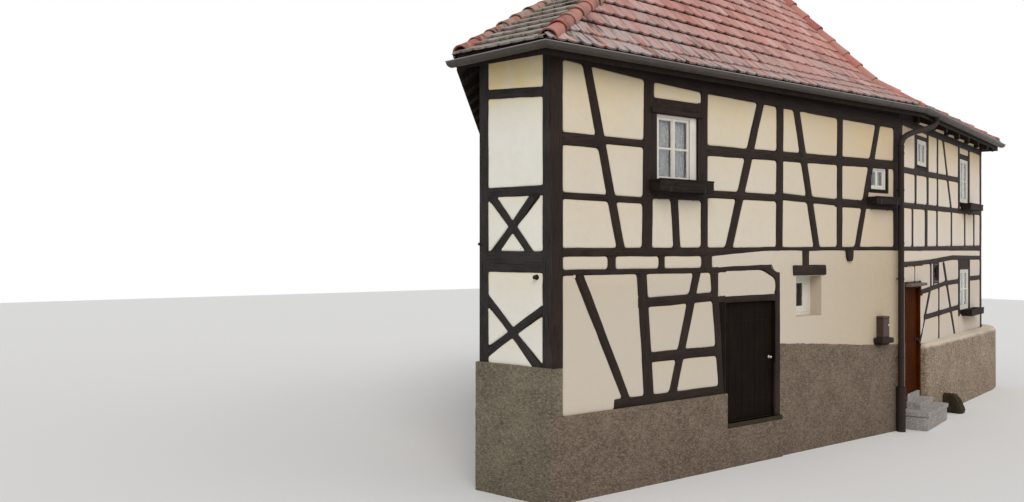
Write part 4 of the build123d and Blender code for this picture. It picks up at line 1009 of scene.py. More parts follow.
def feathered_plaster(name, wall, outlines, material):
    """Plaster sheets given as (along, up, depth) points; a deeper edge fades into the wall beside it."""
    bm = bmesh.new()
    for layer in ("edge", "warm"):
        bm.verts.layers.float.new(layer)
    for outline in outlines:
        ring = []
        for p, q in zip(outline, outline[1:] + outline[:1]):
            pieces = max(1, int(math.hypot(q[0] - p[0], q[1] - p[1]) / 0.05))
            for s, z, depth in (tuple(a + (b - a) * k / pieces for a, b in zip(p, q)) for k in range(pieces)):
                shift = wobble((s, 2.2, z), 0.006, 4.0) if depth < 0 else Vector()
                ring.append(bm.verts.new(WALLS[wall] @ Vector((s + shift.x, depth, z + shift.z))))
        fill_ring(bm, ring, WALLS[wall])
    return add_piece(name, bm, material, smooth=20)


def soften(points, radius):
    """Rounds the corners of an outline of (along, up, depth) points."""
    result = []
    for corner, (_, _, depth) in zip(neighbours([Vector(p[:2]) for p in points]), points):
        result += [(at.x, at.y, depth) for at in rounded_corner(*corner, radius, steps=(0.0, 0.33, 0.67, 1.0))]
    return result


feathered_plaster("plaster_over_stable_door", FRONT, [
    soften([(3.315, 3.190, -0.006), (3.315, 3.372, -0.006), (4.62, 3.448, -0.006), (5.16, 3.452, 0.0006),
            (5.16, 3.085, 0.0006), (5.03, 3.085, -0.003), (4.90, 3.110, -0.009), (4.835, 3.150, -0.009),
            (4.800, 3.225, -0.006)], 0.03),
    soften([(3.455, 2.722, -0.006), (3.430, 3.132, -0.006), (4.53, 3.136, -0.006), (4.882, 2.985, -0.006),
            (4.882, 2.738, -0.006)], 0.10)], RENDER)


# Windows. Heights and places are in millimetres in the wall's frame, as (left, low, right, high).

def add_bar(bm, matrix, box, front, back, edge=0.003, along=0):
    a, b, c, d = (v / 1000 for v in box)
    add_box(bm, matrix, (a, front / 1000, b), (c, back / 1000, d), edge, along)


def shrunk(box, by):
    return (box[0] + by, box[1] + by, box[2] - by, box[3] - by)


def add_ring(bm, matrix, outer, inner, front, back, edge=0.003):
    """Four members round an opening."""
    a, b, c, d = outer
    e, f, g, h = inner
    for box, along in (((a, b, e, d), 2), ((g, b, c, d), 2), ((e, b, g, f), 0), ((e, h, g, d), 0)):
        add_bar(bm, matrix, box, front, back, edge, along)


def sash(bm, glass_bm, matrix, opening, front, rows=1, stile=38, bar=22):
    """One sash with its own rails, glazing bars and a glass sheet behind them."""
    a, b, c, d = opening
    inner = e, f, g, h = (a + stile, b + stile + 10, c - stile, d - stile)
    add_ring(bm, matrix, opening, inner, front, front + 38, 0.004)
    add_ring(bm, matrix, inner, shrunk(inner, 8), front + 7, front + 26, 0.003)
    for j in range(1, rows):
        z = f + (h - f) * j / rows
        add_bar(bm, matrix, (e, z - bar / 2, g, z + bar / 2), front + 4.5, front + 25.5, 0.004, 0)
    add_bar(glass_bm, matrix, inner, front + 17, front + 20, 0)


CURTAIN_ROWS, COLUMNS_PER_FOLD = 14, 10


def curtain(name, wall, left, low, right, high, depth, folds, material):
    """Net curtain hanging in folds from its top, its folds deeper towards the hem."""
    bm = bmesh.new()
    grid = []
    for t in (j / CURTAIN_ROWS for j in range(CURTAIN_ROWS + 1)):
        row = []
        for s in (i / (folds * COLUMNS_PER_FOLD) for i in range(folds * COLUMNS_PER_FOLD + 1)):
            hem = 0.02 * math.cos(s * math.tau * folds * 0.5) * t * t
            wave = math.sin(s * math.tau * folds + 0.6 * math.sin(t * 2.0 + s * 5)) * (0.006 + 0.008 * t)
            row.append((left + (right - left) * s, depth + wave, high - (high - low) * t + hem))
        grid.append(new_ring(bm, [WALLS[wall] @ Vector(p) for p in row]))
    loop_faces(bm, grid, close=False)
    piece = add_piece(name, bm, material, smooth=80)


MAIN_WINDOW, SMALL_WINDOW = (2050, 4450, 2955, 5500), (7760, 4600, 8290, 5010)
GROUND_WINDOW = [(5470, 2320, 6200, 3020), (5520, 2372, 6150, 2972), (5600, 2432, 6055, 2930),
                 (5660, 2483, 5985, 2885)]
LANE_WINDOWS = [((1290, 5200, 2050, 5740), 1), ((5130, 4600, 6020, 5640), 2), ((5130, 2050, 6080, 3010), 2)]
SLIT = (2680, 2790, 3060, 3160)


def window_set():
    """Every window of the two street walls: painted frames, sashes, and glass."""
    front, lane, slit, front_glass, lane_glass = (bmesh.new() for _ in range(5))
    w = WALLS[FRONT]
    # Main window: casing, two sashes of one pane over another, and a wide board on its right
    add_ring(front, w, MAIN_WINDOW, (2098, 4520, 2800, 5458), 22, 95, 0.005)
    add_bar(front, w, (2800, 4450, 2905, 5500), 18, 60, 0.005, 2)
    for a, c in ((2098, 2449), (2449, 2800)):
        sash(front, front_glass, w, (a, 4520, c, 5458), 34, 2, 36, 30)
    add_bar(front, w, (2432, 4520, 2466, 5458), 20, 60, 0.006, 2)
    # Small window: a narrow dark pane on the left and a wide painted casing
    add_ring(front, w, SMALL_WINDOW, (7800, 4640, 8240, 4970), 20, 90, 0.005)
    for a, c in ((7800, 8010), (8010, 8240)):
        sash(front, front_glass, w, (a, 4640, c, 4970), 34, 1, 28)
    # Ground window, deep in its reveal
    for outer, inner, (near, far, edge) in zip(GROUND_WINDOW, GROUND_WINDOW[1:],
                                               ((220, 285, 0.005), (227, 272, 0.006), (234, 262, 0.005))):
        add_ring(front, w, outer, inner, near, far, edge)
    add_bar(front_glass, w, (5650, 2475, 5992, 2892), 248, 251, 0)
    w = WALLS[LANE]
    for outer, rows in LANE_WINDOWS:
        a, b, c, d = shrunk(outer, 48)
        add_ring(lane, w, outer, (a, b, c, d), 6, 68, 0.005)
        middle = (a + c) / 2
        for left, right in ((a, middle), (middle, c)):
            sash(lane, lane_glass, w, (left, b, right, d), 16, rows, 34)
        add_bar(lane, w, (middle - 16, b, middle + 16, d), 8, 40, 0.005, 2)
    a, b, c, d = SLIT
    add_ring(slit, w, (a, 2715, c, 3205), shrunk(SLIT, 40), 8, 68, 0.004)
    sash(slit, lane_glass, w, shrunk(SLIT, 40), 18, 1, 30)
    piece = add_piece("windows_front", front, WINDOW_PAINT, smooth=30)
    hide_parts("window_frames_front")
    piece = add_piece("windows_lane", lane, WINDOW_PAINT, smooth=30)
    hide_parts("window_frames_lane")
    add_piece("window_slit", slit, TIMBER, smooth=30)
    for name, glass in (("front", front_glass), ("lane", lane_glass)):
        piece = add_piece("glass_" + name, glass, GLASS)
        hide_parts("window_panes_" + name)


window_set()
for number, (wall, left, low, right, high, depth, folds) in enumerate((
        (FRONT, 2.13, 4.57, 2.43, 5.42, 0.115, 4), (FRONT, 2.47, 4.57, 2.77, 5.42, 0.115, 4),
        (FRONT, 8.03, 4.66, 8.22, 4.95, 0.115, 3),
        (LANE, 1.36, 5.26, 1.98, 5.68, 0.095, 6), (LANE, 5.20, 4.66, 5.56, 5.58, 0.095, 4),
        (LANE, 5.59, 4.66, 5.95, 5.58, 0.095, 4), (LANE, 5.20, 2.12, 5.59, 2.95, 0.095, 4),
        (LANE, 5.62, 2.12, 6.01, 2.95, 0.095, 4))):
    curtain(f"curtain_{number + 1}", wall, left, low, right, high, depth, folds, CURTAIN)


def dark_boards():
    """Stained boards round the main window and the small windows, and their lintels."""
    bm = bmesh.new()
    for box, front, back, edge, along in (
            ((1950, 4230, 2050, 5700), 12, 22, 0.005, 2), ((2955, 4230, 3035, 5740), 12, 22, 0.005, 2),
            ((2050, 5500, 2955, 5725), 11, 22, 0.005, 0), ((2050, 4230, 2955, 4450), 11, 22, 0.005, 0),
            ((7700, 4540, 7760, 5070), 11, 22, 0.005, 2), ((8290, 4540, 8350, 5070), 11, 22, 0.005, 2),
            ((7760, 5010, 8290, 5070), 11, 22, 0.005, 0), ((7760, 4540, 8290, 4600), 11, 22, 0.005, 0),
            ((1925, 5505, 3045, 5585), 38, 10, 0.008, 0), ((2030, 4428, 2975, 4462), 40, 30, 0.006, 0),
            ((7740, 4580, 8310, 4606), 32, 30, 0.005, 0)):
        add_bar(bm, WALLS[FRONT], box, -front, back, edge, along)
    for box in ((1250, 5180, 2090, 5200), (5090, 4580, 6060, 4602), (5090, 2030, 6120, 2052)):
        add_bar(bm, WALLS[LANE], box, -34, 20, 0.005, 0)
    for inner, width in [(window, 55) for window, _ in LANE_WINDOWS] + [(SLIT, 45)]:
        add_ring(bm, WALLS[LANE], shrunk(inner, -width), inner, -10, 20, 0.005)
    add_piece("window_boards", bm, TIMBER, smooth=30)


dark_boards()


# Rough bases: sheets of lumpy render laid over the plinth solids

def rough_base(name, places, top, material, amp=0.016, lumps=7.0, step=0.045, shoulder=0.0, ledge=0.05,
               lift=0.003, ragged=0.0, radius=0.03):
    """Lumpy render from the ground to a top line, over a shoulder and in to the wall.

    Its path runs over places given as (wall, along, inward).
    """
    bm = bmesh.new()
    points = [(WALLS[wall] @ Vector((along, inward, 0))).xy for wall, along, inward in places]
    rounded = [points[0]]
    for before, here, after in zip(points, points[1:], points[2:]):
        rounded += rounded_corner(before, here, after, radius, 0.45)
    rounded.append(points[-1])
    path = divided(rounded, step) + [rounded[-1]]
    run = 0.0
    columns = []
    for i, p in enumerate(path):
        before, after = path[max(i - 1, 0)], path[min(i + 1, len(path) - 1)]
        run += (p - before).length
        tangent = (after - before).normalized()
        outward = Vector((tangent.y, -tangent.x, 0))
        high = between(top, run) + ragged * rough(run * 7.0, 3.1) + ragged * 0.5 * rough(run * 23.0, 7.7)
        rows = max(3, int((high - shoulder) / step))
        profile = [(0.0, (high - shoulder) * k / rows) for k in range(rows + 1)]
        if shoulder:
            profile += [(shoulder * (1 - math.cos(a)), high - shoulder + shoulder * math.sin(a))
                        for a in (0.4, 0.8, 1.2, math.pi / 2)]
            profile += [(shoulder + (ledge - shoulder) * t, high + 0.02 * t) for t in (0.35, 0.7, 1.0)]
        else:
            profile += [(0.004, high + 0.003), (0.012, high + 0.004), (ledge, high + 0.006)]
        column = []
        for k, (inward, z) in enumerate(profile):
            at = Vector((p.x, p.y, z))
            big, mid, fine = (noise.noise(at * lumps * scale) * 0.5 + 0.5 for scale in (0.35, 1, 3.1))
            out = (lift + amp * (0.4 * big + 0.4 * mid + 0.2 * fine)) * (0.6 if k > rows else 1)
            column.append(at + outward * (out - inward))
        columns.append(new_ring(bm, column))
    for left, right in zip(columns, columns[1:]):
        i = j = 0
        while i < len(left) - 1 or j < len(right) - 1:
            if j == len(right) - 1 or (i < len(left) - 1 and i / (len(left) - 1) <= j / (len(right) - 1)):
                bm.faces.new((left[i], right[j], left[i + 1]))
                i += 1
            else:
                bm.faces.new((left[i], right[j], right[j + 1]))
                j += 1
    return add_piece(name, bm, material, smooth=75)


BASE_LINE = -0.04
rough_base("base_left", [(LEFT, BASE_LINE, BASE_LINE), (LEFT, LEFT_LENGTH - BASE_LINE, BASE_LINE)],
           [(0, 1.85)], STONE_LEFT, 0.020, ledge=0.045)
rough_base("base_front", [(FRONT, -0.05, BASE_LINE), (FRONT, 3.622, BASE_LINE), (FRONT, 3.622, 0.06)],
           [(0, BASE_TOP / 1000)], STONE, 0.020, ledge=0.045)
rough_base("base_door", [(FRONT, 3.60, BASE_LINE), (FRONT, 5.03, BASE_LINE)], [(0, 0.635)], STONE,
           0.016, ledge=0.03)
rough_base("base_masonry", [(FRONT, 5.022, 0.02), (FRONT, 5.022, 0.0), (FRONT, FRONT_LENGTH, 0.0),
                            (LANE, 0.37, 0.0)],
           [(0.0, 1.89), (0.5, 1.86), (1.4, 1.80), (2.4, 1.72), (3.72, 1.655), (6.0, 1.66)],
           STONE, 0.018, 9.0, 0.04, ledge=0.02, ragged=0.012, radius=0.05)
rough_base("base_lane", [(LANE, s, -out) for s, out in (
               (1.60, -0.02), (1.60, 0.12), (3.0, 0.20), (5.2, 0.30), (7.0, 0.38), (7.65, 0.32), (7.95, 0.08),
               (7.97, -0.25))],
           [(0, 1.535), (1.5, 1.53), (5.0, 1.50), (5.6, 1.48), (6.4, 1.55), (7.0, 1.53)],
           STONE_PALE, 0.016, 4.0, 0.06, shoulder=0.085, ledge=0.30, radius=0.12)
rough_base("base_rear", [(END, 0.2, BASE_LINE), (END, END_LENGTH - BASE_LINE, BASE_LINE),
                         (REAR_LEFT, BASE_LINE, BASE_LINE), (LEFT, BASE_LINE, BASE_LINE)],
           [(0, BASE_TOP / 1000)], STONE, 0.018, 6.0, 0.075, ledge=0.045)


# Lintel, stubs and other pieces on the rendered wall

def boxes(name, wall, items, material):
    """One piece of boxes in a wall's frame, each as (low corner, high corner, edge, grain axis)."""
    bm = bmesh.new()
    for low, high, edge, along in items:
        add_box(bm, WALLS[wall], low, high, edge, along)
    return add_piece(name, bm, material, smooth=30)


def wall_fittings():
    bm = bmesh.new()
    for stations, front, seed, bow, edge in (
            ([(5.379, 3.117, 0.170), (5.42, 3.12, 0.18), (6.275, 3.12, 0.178), (6.316, 3.123, 0.168)],
             -0.022, 3.3, 0.004, 0.014),
            ([(5.742, 3.20, 0.20), (5.742, 3.47, 0.215)], -0.006, 4.1, 0.003, 0.011),
            ([(7.04, 3.475, 0.225), (7.045, 3.33, 0.19), (7.045, 3.285, 0.15), (7.045, 3.265, 0.09)],
             -0.045, 5.2, 0.003, 0.02)):
        add_path_timber(bm, WALLS[FRONT], stations, front, seed=seed, bow=bow, edge=edge)
    add_piece("lintel_and_stubs", bm, TIMBER, smooth=35)


wall_fittings()
boxes("threshold_slab", FRONT, [((3.618, -0.062, 0.630), (5.018, 0.050, 0.702), 0.008, 0)], STONE_DARK)


# Doors

def add_turned(bm, centre, outward, radius, steps, sides):
    """A turned piece from its rings as (distance out, share of the radius), closed at its end."""
    side = Vector((0, 0, 1))
    rings = [new_ring(bm, circle(centre + outward * out, outward.cross(side), side, radius * r, sides))
             for out, r in steps]
    loop_faces(bm, rings)
    bm.faces.new(rings[-1])


def add_knob(bm, centre, outward, radius, reach):
    """Turned knob: rose, neck and a flattened ball."""
    add_turned(bm, centre, outward, radius, (
        (0.0, 1.25), (0.004, 1.3), (0.008, 1.1), (0.010, 0.5), (reach * 0.45, 0.42), (reach * 0.55, 0.8),
        (reach * 0.7, 1.0), (reach * 0.85, 0.95), (reach, 0.55), (reach * 1.02, 0.05)), 20)


def add_stud(bm, centre, outward, radius):
    """Domed nail head."""
    add_turned(bm, centre, outward, radius, ((0.0, 1.0), (0.35 * radius, 0.8), (0.55 * radius, 0.4)), 8)


# Depths in a wall of a door's planks and straps, the joint between planks and the height of a strap
PLANK_FRONT, PLANK_BACK, STRAP_BACK, PLANK_JOINT, STRAP_HEIGHT = 0.060, 0.110, 0.116, 0.0012, 0.05


def plank_door(name, wall, left, right, low, high, count, body, material, node, seed):
    """Boarded leaf: planks with worn edges and open joints, straps with eyes on the inside."""
    w = WALLS[wall]
    boards, iron = bmesh.new(), bmesh.new()
    own = random.Random(seed)
    shares = [own.uniform(0.85, 1.15) for _ in range(count)]
    cuts = [left]
    for share in shares:
        cuts.append(cuts[-1] + (right - left) * share / sum(shares))
    for a, b in zip(cuts, cuts[1:]):
        add_box(boards, w, (a + PLANK_JOINT, PLANK_FRONT + own.uniform(0, 0.003), low),
                (b - PLANK_JOINT, PLANK_BACK, high), 0.004, 2)
    for z in (low + 0.25, high - 0.18):
        add_box(boards, w, (left + 0.06, 0.1105, z), (right - 0.06, 0.1115, z + 0.11), 0, 0)
    leaf = add_piece(name + "_planks", boards, material, body, smooth=30)
    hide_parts(node)
    line, reach = left + 0.014, (right - left + 0.016) * 0.6
    for z in (low + 0.28, high - 0.322):
        add_box(iron, w, (line, PLANK_BACK, z), (line + reach, STRAP_BACK, z + STRAP_HEIGHT), 0.002, 0)
        bottom = w @ Vector((line, 0.123, z))
        add_tube(iron, [bottom, bottom + Vector((0, 0, STRAP_HEIGHT))], 0.013, 20)
        for k in range(5):
            stud = Vector((line + reach * (0.15 + 0.19 * k), STRAP_BACK, z + STRAP_HEIGHT / 2))
            add_stud(iron, w @ stud, -OUTWARD[wall], 0.008)
    for z in (low + 0.305, high - 0.297):
        for a, b in zip(cuts, cuts[1:]):
            for t in (0.28, 0.72):
                add_stud(iron, w @ Vector((a + (b - a) * t, 0.061, z)), OUTWARD[wall], 0.007)
    add_piece(name + "_hinges", iron, IRON, body, smooth=35)


plank_door("stable_door", FRONT, 3.623, 4.882, 0.710, 2.612, 8, "stable_leaf", STABLE_WOOD,
           "stable_door", 3)
plank_door("entrance_door", LANE, 0.608, 1.492, 0.600, 2.692, 7, "entrance_leaf", ENTRANCE_WOOD,
           "entrance_door", 5)


def fitted_knobs(name, wall, knobs, material, body=HOUSE):
    """Knobs on one wall, each as (place in the wall's frame, radius, reach)."""
    bm = bmesh.new()
    for place, radius, reach in knobs:
        add_knob(bm, WALLS[wall] @ Vector(place), OUTWARD[wall], radius, reach)
    add_piece(name, bm, material, body, smooth=50)


def entrance_handle():
    """Plate, knob and lever of the entrance door."""
    bm = bmesh.new()
    w = WALLS[LANE]
    add_box(bm, w, (1.385, 0.055, 1.50), (1.435, 0.061, 1.74), 0.003, 2)
    add_knob(bm, w @ Vector((1.41, 0.056, 1.66)), OUTWARD[LANE], 0.013, 0.03)
    lever = [w @ Vector(p) for p in ((1.41, 0.050, 1.66), (1.41, 0.020, 1.66), (1.38, 0.014, 1.658),
                                     (1.295, 0.016, 1.652))]
    add_tube(bm, catmull(lever, 5), 0.009, 12)
    add_piece("entrance_handle", bm, IRON, "entrance_leaf", smooth=50)


fitted_knobs("stable_knob", FRONT, [((4.80, 0.061, 1.68), 0.020, 0.055)], SILVER, "stable_leaf")
entrance_handle()


# Mailbox on its bracket

def mailbox():
    left, right = FRONT_LENGTH - 0.805, FRONT_LENGTH - 0.580
    piece = boxes("mailbox_case", FRONT, [
        ((left + 0.006, -0.142, 1.832), (right - 0.006, -0.002, 2.185), 0.006, 2),
        ((left, -0.150, 2.185), (right, 0.0, 2.230), 0.010, 0),
        ((left + 0.014, -0.147, 1.85), (right - 0.014, -0.140, 2.165), 0.003, 2),
        ((left + 0.03, -0.150, 2.105), (right - 0.03, -0.144, 2.150), 0.003, 0)], MAILBOX)
    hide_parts("mailbox")
    fitted_knobs("mailbox_lock", FRONT, [((right - 0.045, -0.147, 2.06), 0.014, 0.012)], SILVER)
    boxes("mailbox_bracket", FRONT, [
        ((FRONT_LENGTH - 0.906, -0.2, 1.73), (FRONT_LENGTH - 0.515, 0.0, 1.83), 0.018, 0),
        ((FRONT_LENGTH - 0.87, -0.13, 1.69), (FRONT_LENGTH - 0.55, 0.0, 1.735), 0.015, 0)], TIMBER)


mailbox()


# Fittings: window boxes, canopy, steps, guard stone

def rough_block(bm, low, high, edge, step, amp, seed=0.0, shape=None):
    """A stone block at the lane wall with round edges and an uneven surface; shape may move its points."""
    low, high = Vector(low), Vector(high)
    size = high - low
    counts = [max(1, math.ceil(length / step)) for length in size]
    radius = min(edge, min(size) * 0.5)
    known = {}

    def vertex(cell):
        if cell not in known:
            at = Vector([low[i] + size[i] * cell[i] / counts[i] for i in range(3)])
            core = Vector([min(max(at[i], low[i] + radius), high[i] - radius) for i in range(3)])
            away = (at - core).normalized() if (at - core).length > 1e-6 else Vector((0, 0, 1))
            at = core + away * min(radius, (at - core).length)
            uneven = (noise.noise(at * 4.0 + Vector((seed, 0, 0))) * 0.6
                      + noise.noise(at * 13.0 + Vector((0, seed, 0))) * 0.4)
            at += away * (uneven * amp - amp * 0.5)
            known[cell] = bm.verts.new(WALLS[LANE] @ (shape(at) if shape else at))
        return known[cell]

    for axis in range(3):
        u, v = [i for i in range(3) if i != axis]
        for side, i, j in itertools.product((0, counts[axis]), range(counts[u]), range(counts[v])):
            corners = []
            for di, dj in ((0, 0), (1, 0), (1, 1), (0, 1)):
                cell = [0, 0, 0]
                cell[axis], cell[u], cell[v] = side, i + di, j + dj
                corners.append(vertex(tuple(cell)))
            bm.faces.new(corners)


SOIL_GRID, SOIL_ROWS, SOIL_DEPTH, BRACKET = 0.03, 8, 0.045, 0.014


def planter(boards, soil, iron, wall, outline, out):
    """Trough of planks on two iron brackets, with soil in it."""
    w = WALLS[wall]
    a, b, c, d = (value / 1000 for value in outline)
    out = out / 1000
    for low, high, edge, along in (
            ((a, -out, b), (c, -out + 0.022, d - 0.004), 0.006, 0),
            ((a, -0.024, b), (c, -0.002, d - 0.006), 0.005, 0),
            ((a + 0.004, -out + 0.021, b + 0.002), (a + 0.026, -0.023, d - 0.008), 0.004, 1),
            ((c - 0.026, -out + 0.021, b + 0.002), (c - 0.004, -0.023, d - 0.008), 0.004, 1),
            ((a + 0.02, -out + 0.018, b + 0.004), (c - 0.02, -0.02, b + 0.026), 0, 0),
            ((a - 0.006, -out - 0.006, d - 0.022), (c + 0.006, -out + 0.026, d), 0.006, 0)):
        add_box(boards, w, low, high, edge, along)
    columns = int((c - a) / SOIL_GRID)
    grid = []
    for j in range(SOIL_ROWS):
        row = []
        for i in range(columns + 1):
            at = Vector((a + 0.02 + (c - a - 0.04) * i / columns,
                         -out + 0.018 + (out - 0.036) * j / (SOIL_ROWS - 1), d - SOIL_DEPTH))
            at.z += 0.022 * noise.noise(at * 16.0) + 0.012 * noise.noise(at * 47.0)
            row.append(w @ at)
        grid.append(new_ring(soil, row))
    loop_faces(soil, grid, close=False)
    for s in (a + (c - a) * share for share in (0.18, 0.82)):
        for near, low, far, high, along in ((-out - 0.001, b - 0.006, 0.004, b, 1),
                                            (-out - 0.006, b - 0.006, -out - 0.001, b + 0.075, 2),
                                            (-0.005, b - 0.11, 0.001, b - 0.006, 2)):
            add_box(iron, w, (s - BRACKET, near, low), (s + BRACKET, far, high), 0.001, along)


def planters():
    boards, soil, iron = (bmesh.new() for _ in range(3))
    right = FRONT_LENGTH * 1000
    for wall, outline, out in ((FRONT, (1885, 4330, 3075, 4520), 230),
                               (FRONT, (right - 1117, 4320, right - 264, 4465), 200),
                               (LANE, (5200, 4440, 6600, 4590), 230), (LANE, (5300, 1905, 6700, 2060), 230)):
        planter(boards, soil, iron, wall, outline, out)
    piece = add_piece("planters", boards, BOX_WOOD, smooth=30)
    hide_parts("window_boxes")
    add_piece("planter_soil", soil, SOIL, smooth=60)
    add_piece("planter_brackets", iron, IRON, smooth=30)


planters()
GUARD_PLACE, GUARD_HEIGHT = Vector((2.83, -0.38, 0)), 0.42


def leaning(at):
    """The guard stone narrows towards its top and leans to the wall."""
    t = max(0.0, at.z / GUARD_HEIGHT)
    spread = 1.0 - 0.34 * t ** 1.4
    return Vector((GUARD_PLACE.x + (at.x - GUARD_PLACE.x) * spread - 0.085 * t,
                   GUARD_PLACE.y + (at.y - GUARD_PLACE.y) * spread + 0.10 * t, at.z))


def stonework():
    """Canopy, steps and guard stone at the entrance."""
    bm = bmesh.new()
    rough_block(bm, (0.372, -0.150, 2.738), (1.578, 0.004, 2.813), 0.022, 0.03, 0.012, 2.0)
    piece = add_piece("canopy_slab", bm, STONE_CANOPY, smooth=60)
    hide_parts("entrance_canopy")
    bm = bmesh.new()
    rough_block(bm, (0.150, -0.500, 0.262), (1.750, 0.15, 0.350), 0.010, 0.04, 0.003, 5.0)
    rough_block(bm, (0.165, -0.484, -0.004), (0.93, 0.15, 0.262), 0.02, 0.045, 0.010, 6.0)
    rough_block(bm, (0.936, -0.482, -0.004), (1.735, 0.15, 0.262), 0.02, 0.045, 0.010, 7.0)
    rough_block(bm, (0.520, -0.260, 0.346), (1.520, 0.05, 0.480), 0.010, 0.04, 0.003, 8.0)
    cut_flat(bm, (0, 0, 0), (0, 0, -1))
    piece = add_piece("steps_worn", bm, STONE_STEP, smooth=60)
    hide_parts("entrance_steps")
    bm = bmesh.new()
    rough_block(bm, (2.60, -0.61, -0.02), (3.06, -0.15, GUARD_HEIGHT), 0.085, 0.025, 0.05, 9.0, leaning)
    cut_flat(bm, (0, 0, 0), (0, 0, -1))
    piece = add_piece("guard_rough", bm, STONE_MOSS, smooth=70)
    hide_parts("guard_stone")


stonework()


# Eaves: gutter, downpipe, fascia boards, soffit and rafter tails

ROOF_POINTS = [p.xy for face in ROOF.values() for side in face for p in side]
EAVE_CORNERS = [min(ROOF_POINTS, key=lambda p: (p - Vector(near)).length) for near in (
    (-0.614, 1.351), (-0.280, -0.220), (9.155, -0.220), (16.444, 1.733), (14.58, 8.71), (5.44, 9.08))]
GUTTER_FALL = 0.05
RIM = EAVE_HEIGHT - 0.075
GUTTER_OUT, GUTTER_RADIUS, GUTTER_SHEET, BEAD_RADIUS = 0.08, 0.08, 0.0045, 0.009
# Spacing, half width and radius of the gutter's joints and straps
JOINT_SPACING, JOINT_WIDTH, JOINT_RADIUS = 3.0, 0.028, 0.0825
STRAP_SPACING, STRAP_WIDTH, STRAP_RADIUS = 0.85, 0.014, 0.0835


def eave_point(corner, out):
    """Corner of a line outside the eave line, in plan."""
    here = EAVE_CORNERS[corner]
    d1 = (here - EAVE_CORNERS[corner - 1]).normalized()
    d2 = (EAVE_CORNERS[(corner + 1) % 6] - here).normalized()
    n1, n2 = Vector((d1.y, -d1.x)), Vector((d2.y, -d2.x))
    return here + (n1 + n2) * (out / (1 + n1.dot(n2)))


def sweep_eave(bm, profile, corners=(0, 1, 2, 3), fall=0.0):
    """Closed profile of (out, up) points along the eaves, mitred at the corners."""
    rings = []
    for corner in corners:
        down = fall if corner == 0 else 0.0
        rings.append(new_ring(bm, [(*eave_point(corner, out), z - down) for out, z in profile]))
    for a, b in zip(rings, rings[1:]):
        for i in range(len(profile)):
            j = (i + 1) % len(profile)
            bm.faces.new((a[i], a[j], b[j], b[i]))
    return rings


def gutter_arc(radius, start=0.0, stop=180.0, count=14):
    """Half circle of the gutter from its wall side, down and up to its outer rim."""
    angles = [math.radians(start + (stop - start) * k / count) for k in range(count + 1)]
    return [(GUTTER_OUT - radius * math.cos(a), RIM - radius * math.sin(a)) for a in angles]


def gutter_run():
    """Half-round gutter with end caps, joints and straps, and its rolled rim in a paler metal that paints a
    highlight along it.
    """
    bm, bead = bmesh.new(), bmesh.new()
    outer = gutter_arc(GUTTER_RADIUS)
    rings = sweep_eave(bm, outer + gutter_arc(GUTTER_RADIUS - GUTTER_SHEET)[::-1], fall=GUTTER_FALL)
    # The rolled rim gets its own paler metal, a painted highlight.
    sweep_eave(bead, [(0.161 + BEAD_RADIUS * math.cos(a), RIM + 0.003 + BEAD_RADIUS * math.sin(a))
                      for a in (math.tau * k / 10 for k in range(10))], fall=GUTTER_FALL)
    add_piece("gutter_bead_highlight", bead, BEAD_HIGHLIGHT_METAL, smooth=50)
    for ring in (rings[0], rings[-1]):
        bm.faces.new(new_ring(bm, [v.co for v in ring[:len(outer)]]))
    for corner in range(3):
        start, stop = eave_point(corner, 0), eave_point(corner + 1, 0)
        along = (stop - start).normalized()
        out = Vector((along.y, -along.x))
        length = (stop - start).length
        lengths, strap_count = math.ceil(length / JOINT_SPACING), max(1, round(length / STRAP_SPACING))
        joints = [0.06] + [k * length / lengths for k in range(1, lengths)] + [length - 0.06]
        straps = [length * (k + 0.5) / strap_count for k in range(strap_count)]
        for place, width, radius in ([(p, JOINT_WIDTH, JOINT_RADIUS) for p in joints]
                                     + [(p, STRAP_WIDTH, STRAP_RADIUS) for p in straps]):
            rows = []
            for at in (place - width, place + width):
                base = start + along * at
                fall = GUTTER_FALL * (1 - at / length) if corner == 0 else 0.0
                arc = gutter_arc(radius, 4, 176)
                rows.append(new_ring(bm, [(*(base + out * o), z - fall) for o, z in arc]))
            loop_faces(bm, rows, close=False)
    piece = add_piece("gutter_run", bm, GUTTER_METAL, smooth=40)
    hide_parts("gutter")


gutter_run()
PIPE_PLACE, PIPE_OUT, PIPE_RADIUS = FRONT_LENGTH - 0.105, 0.10, 0.055


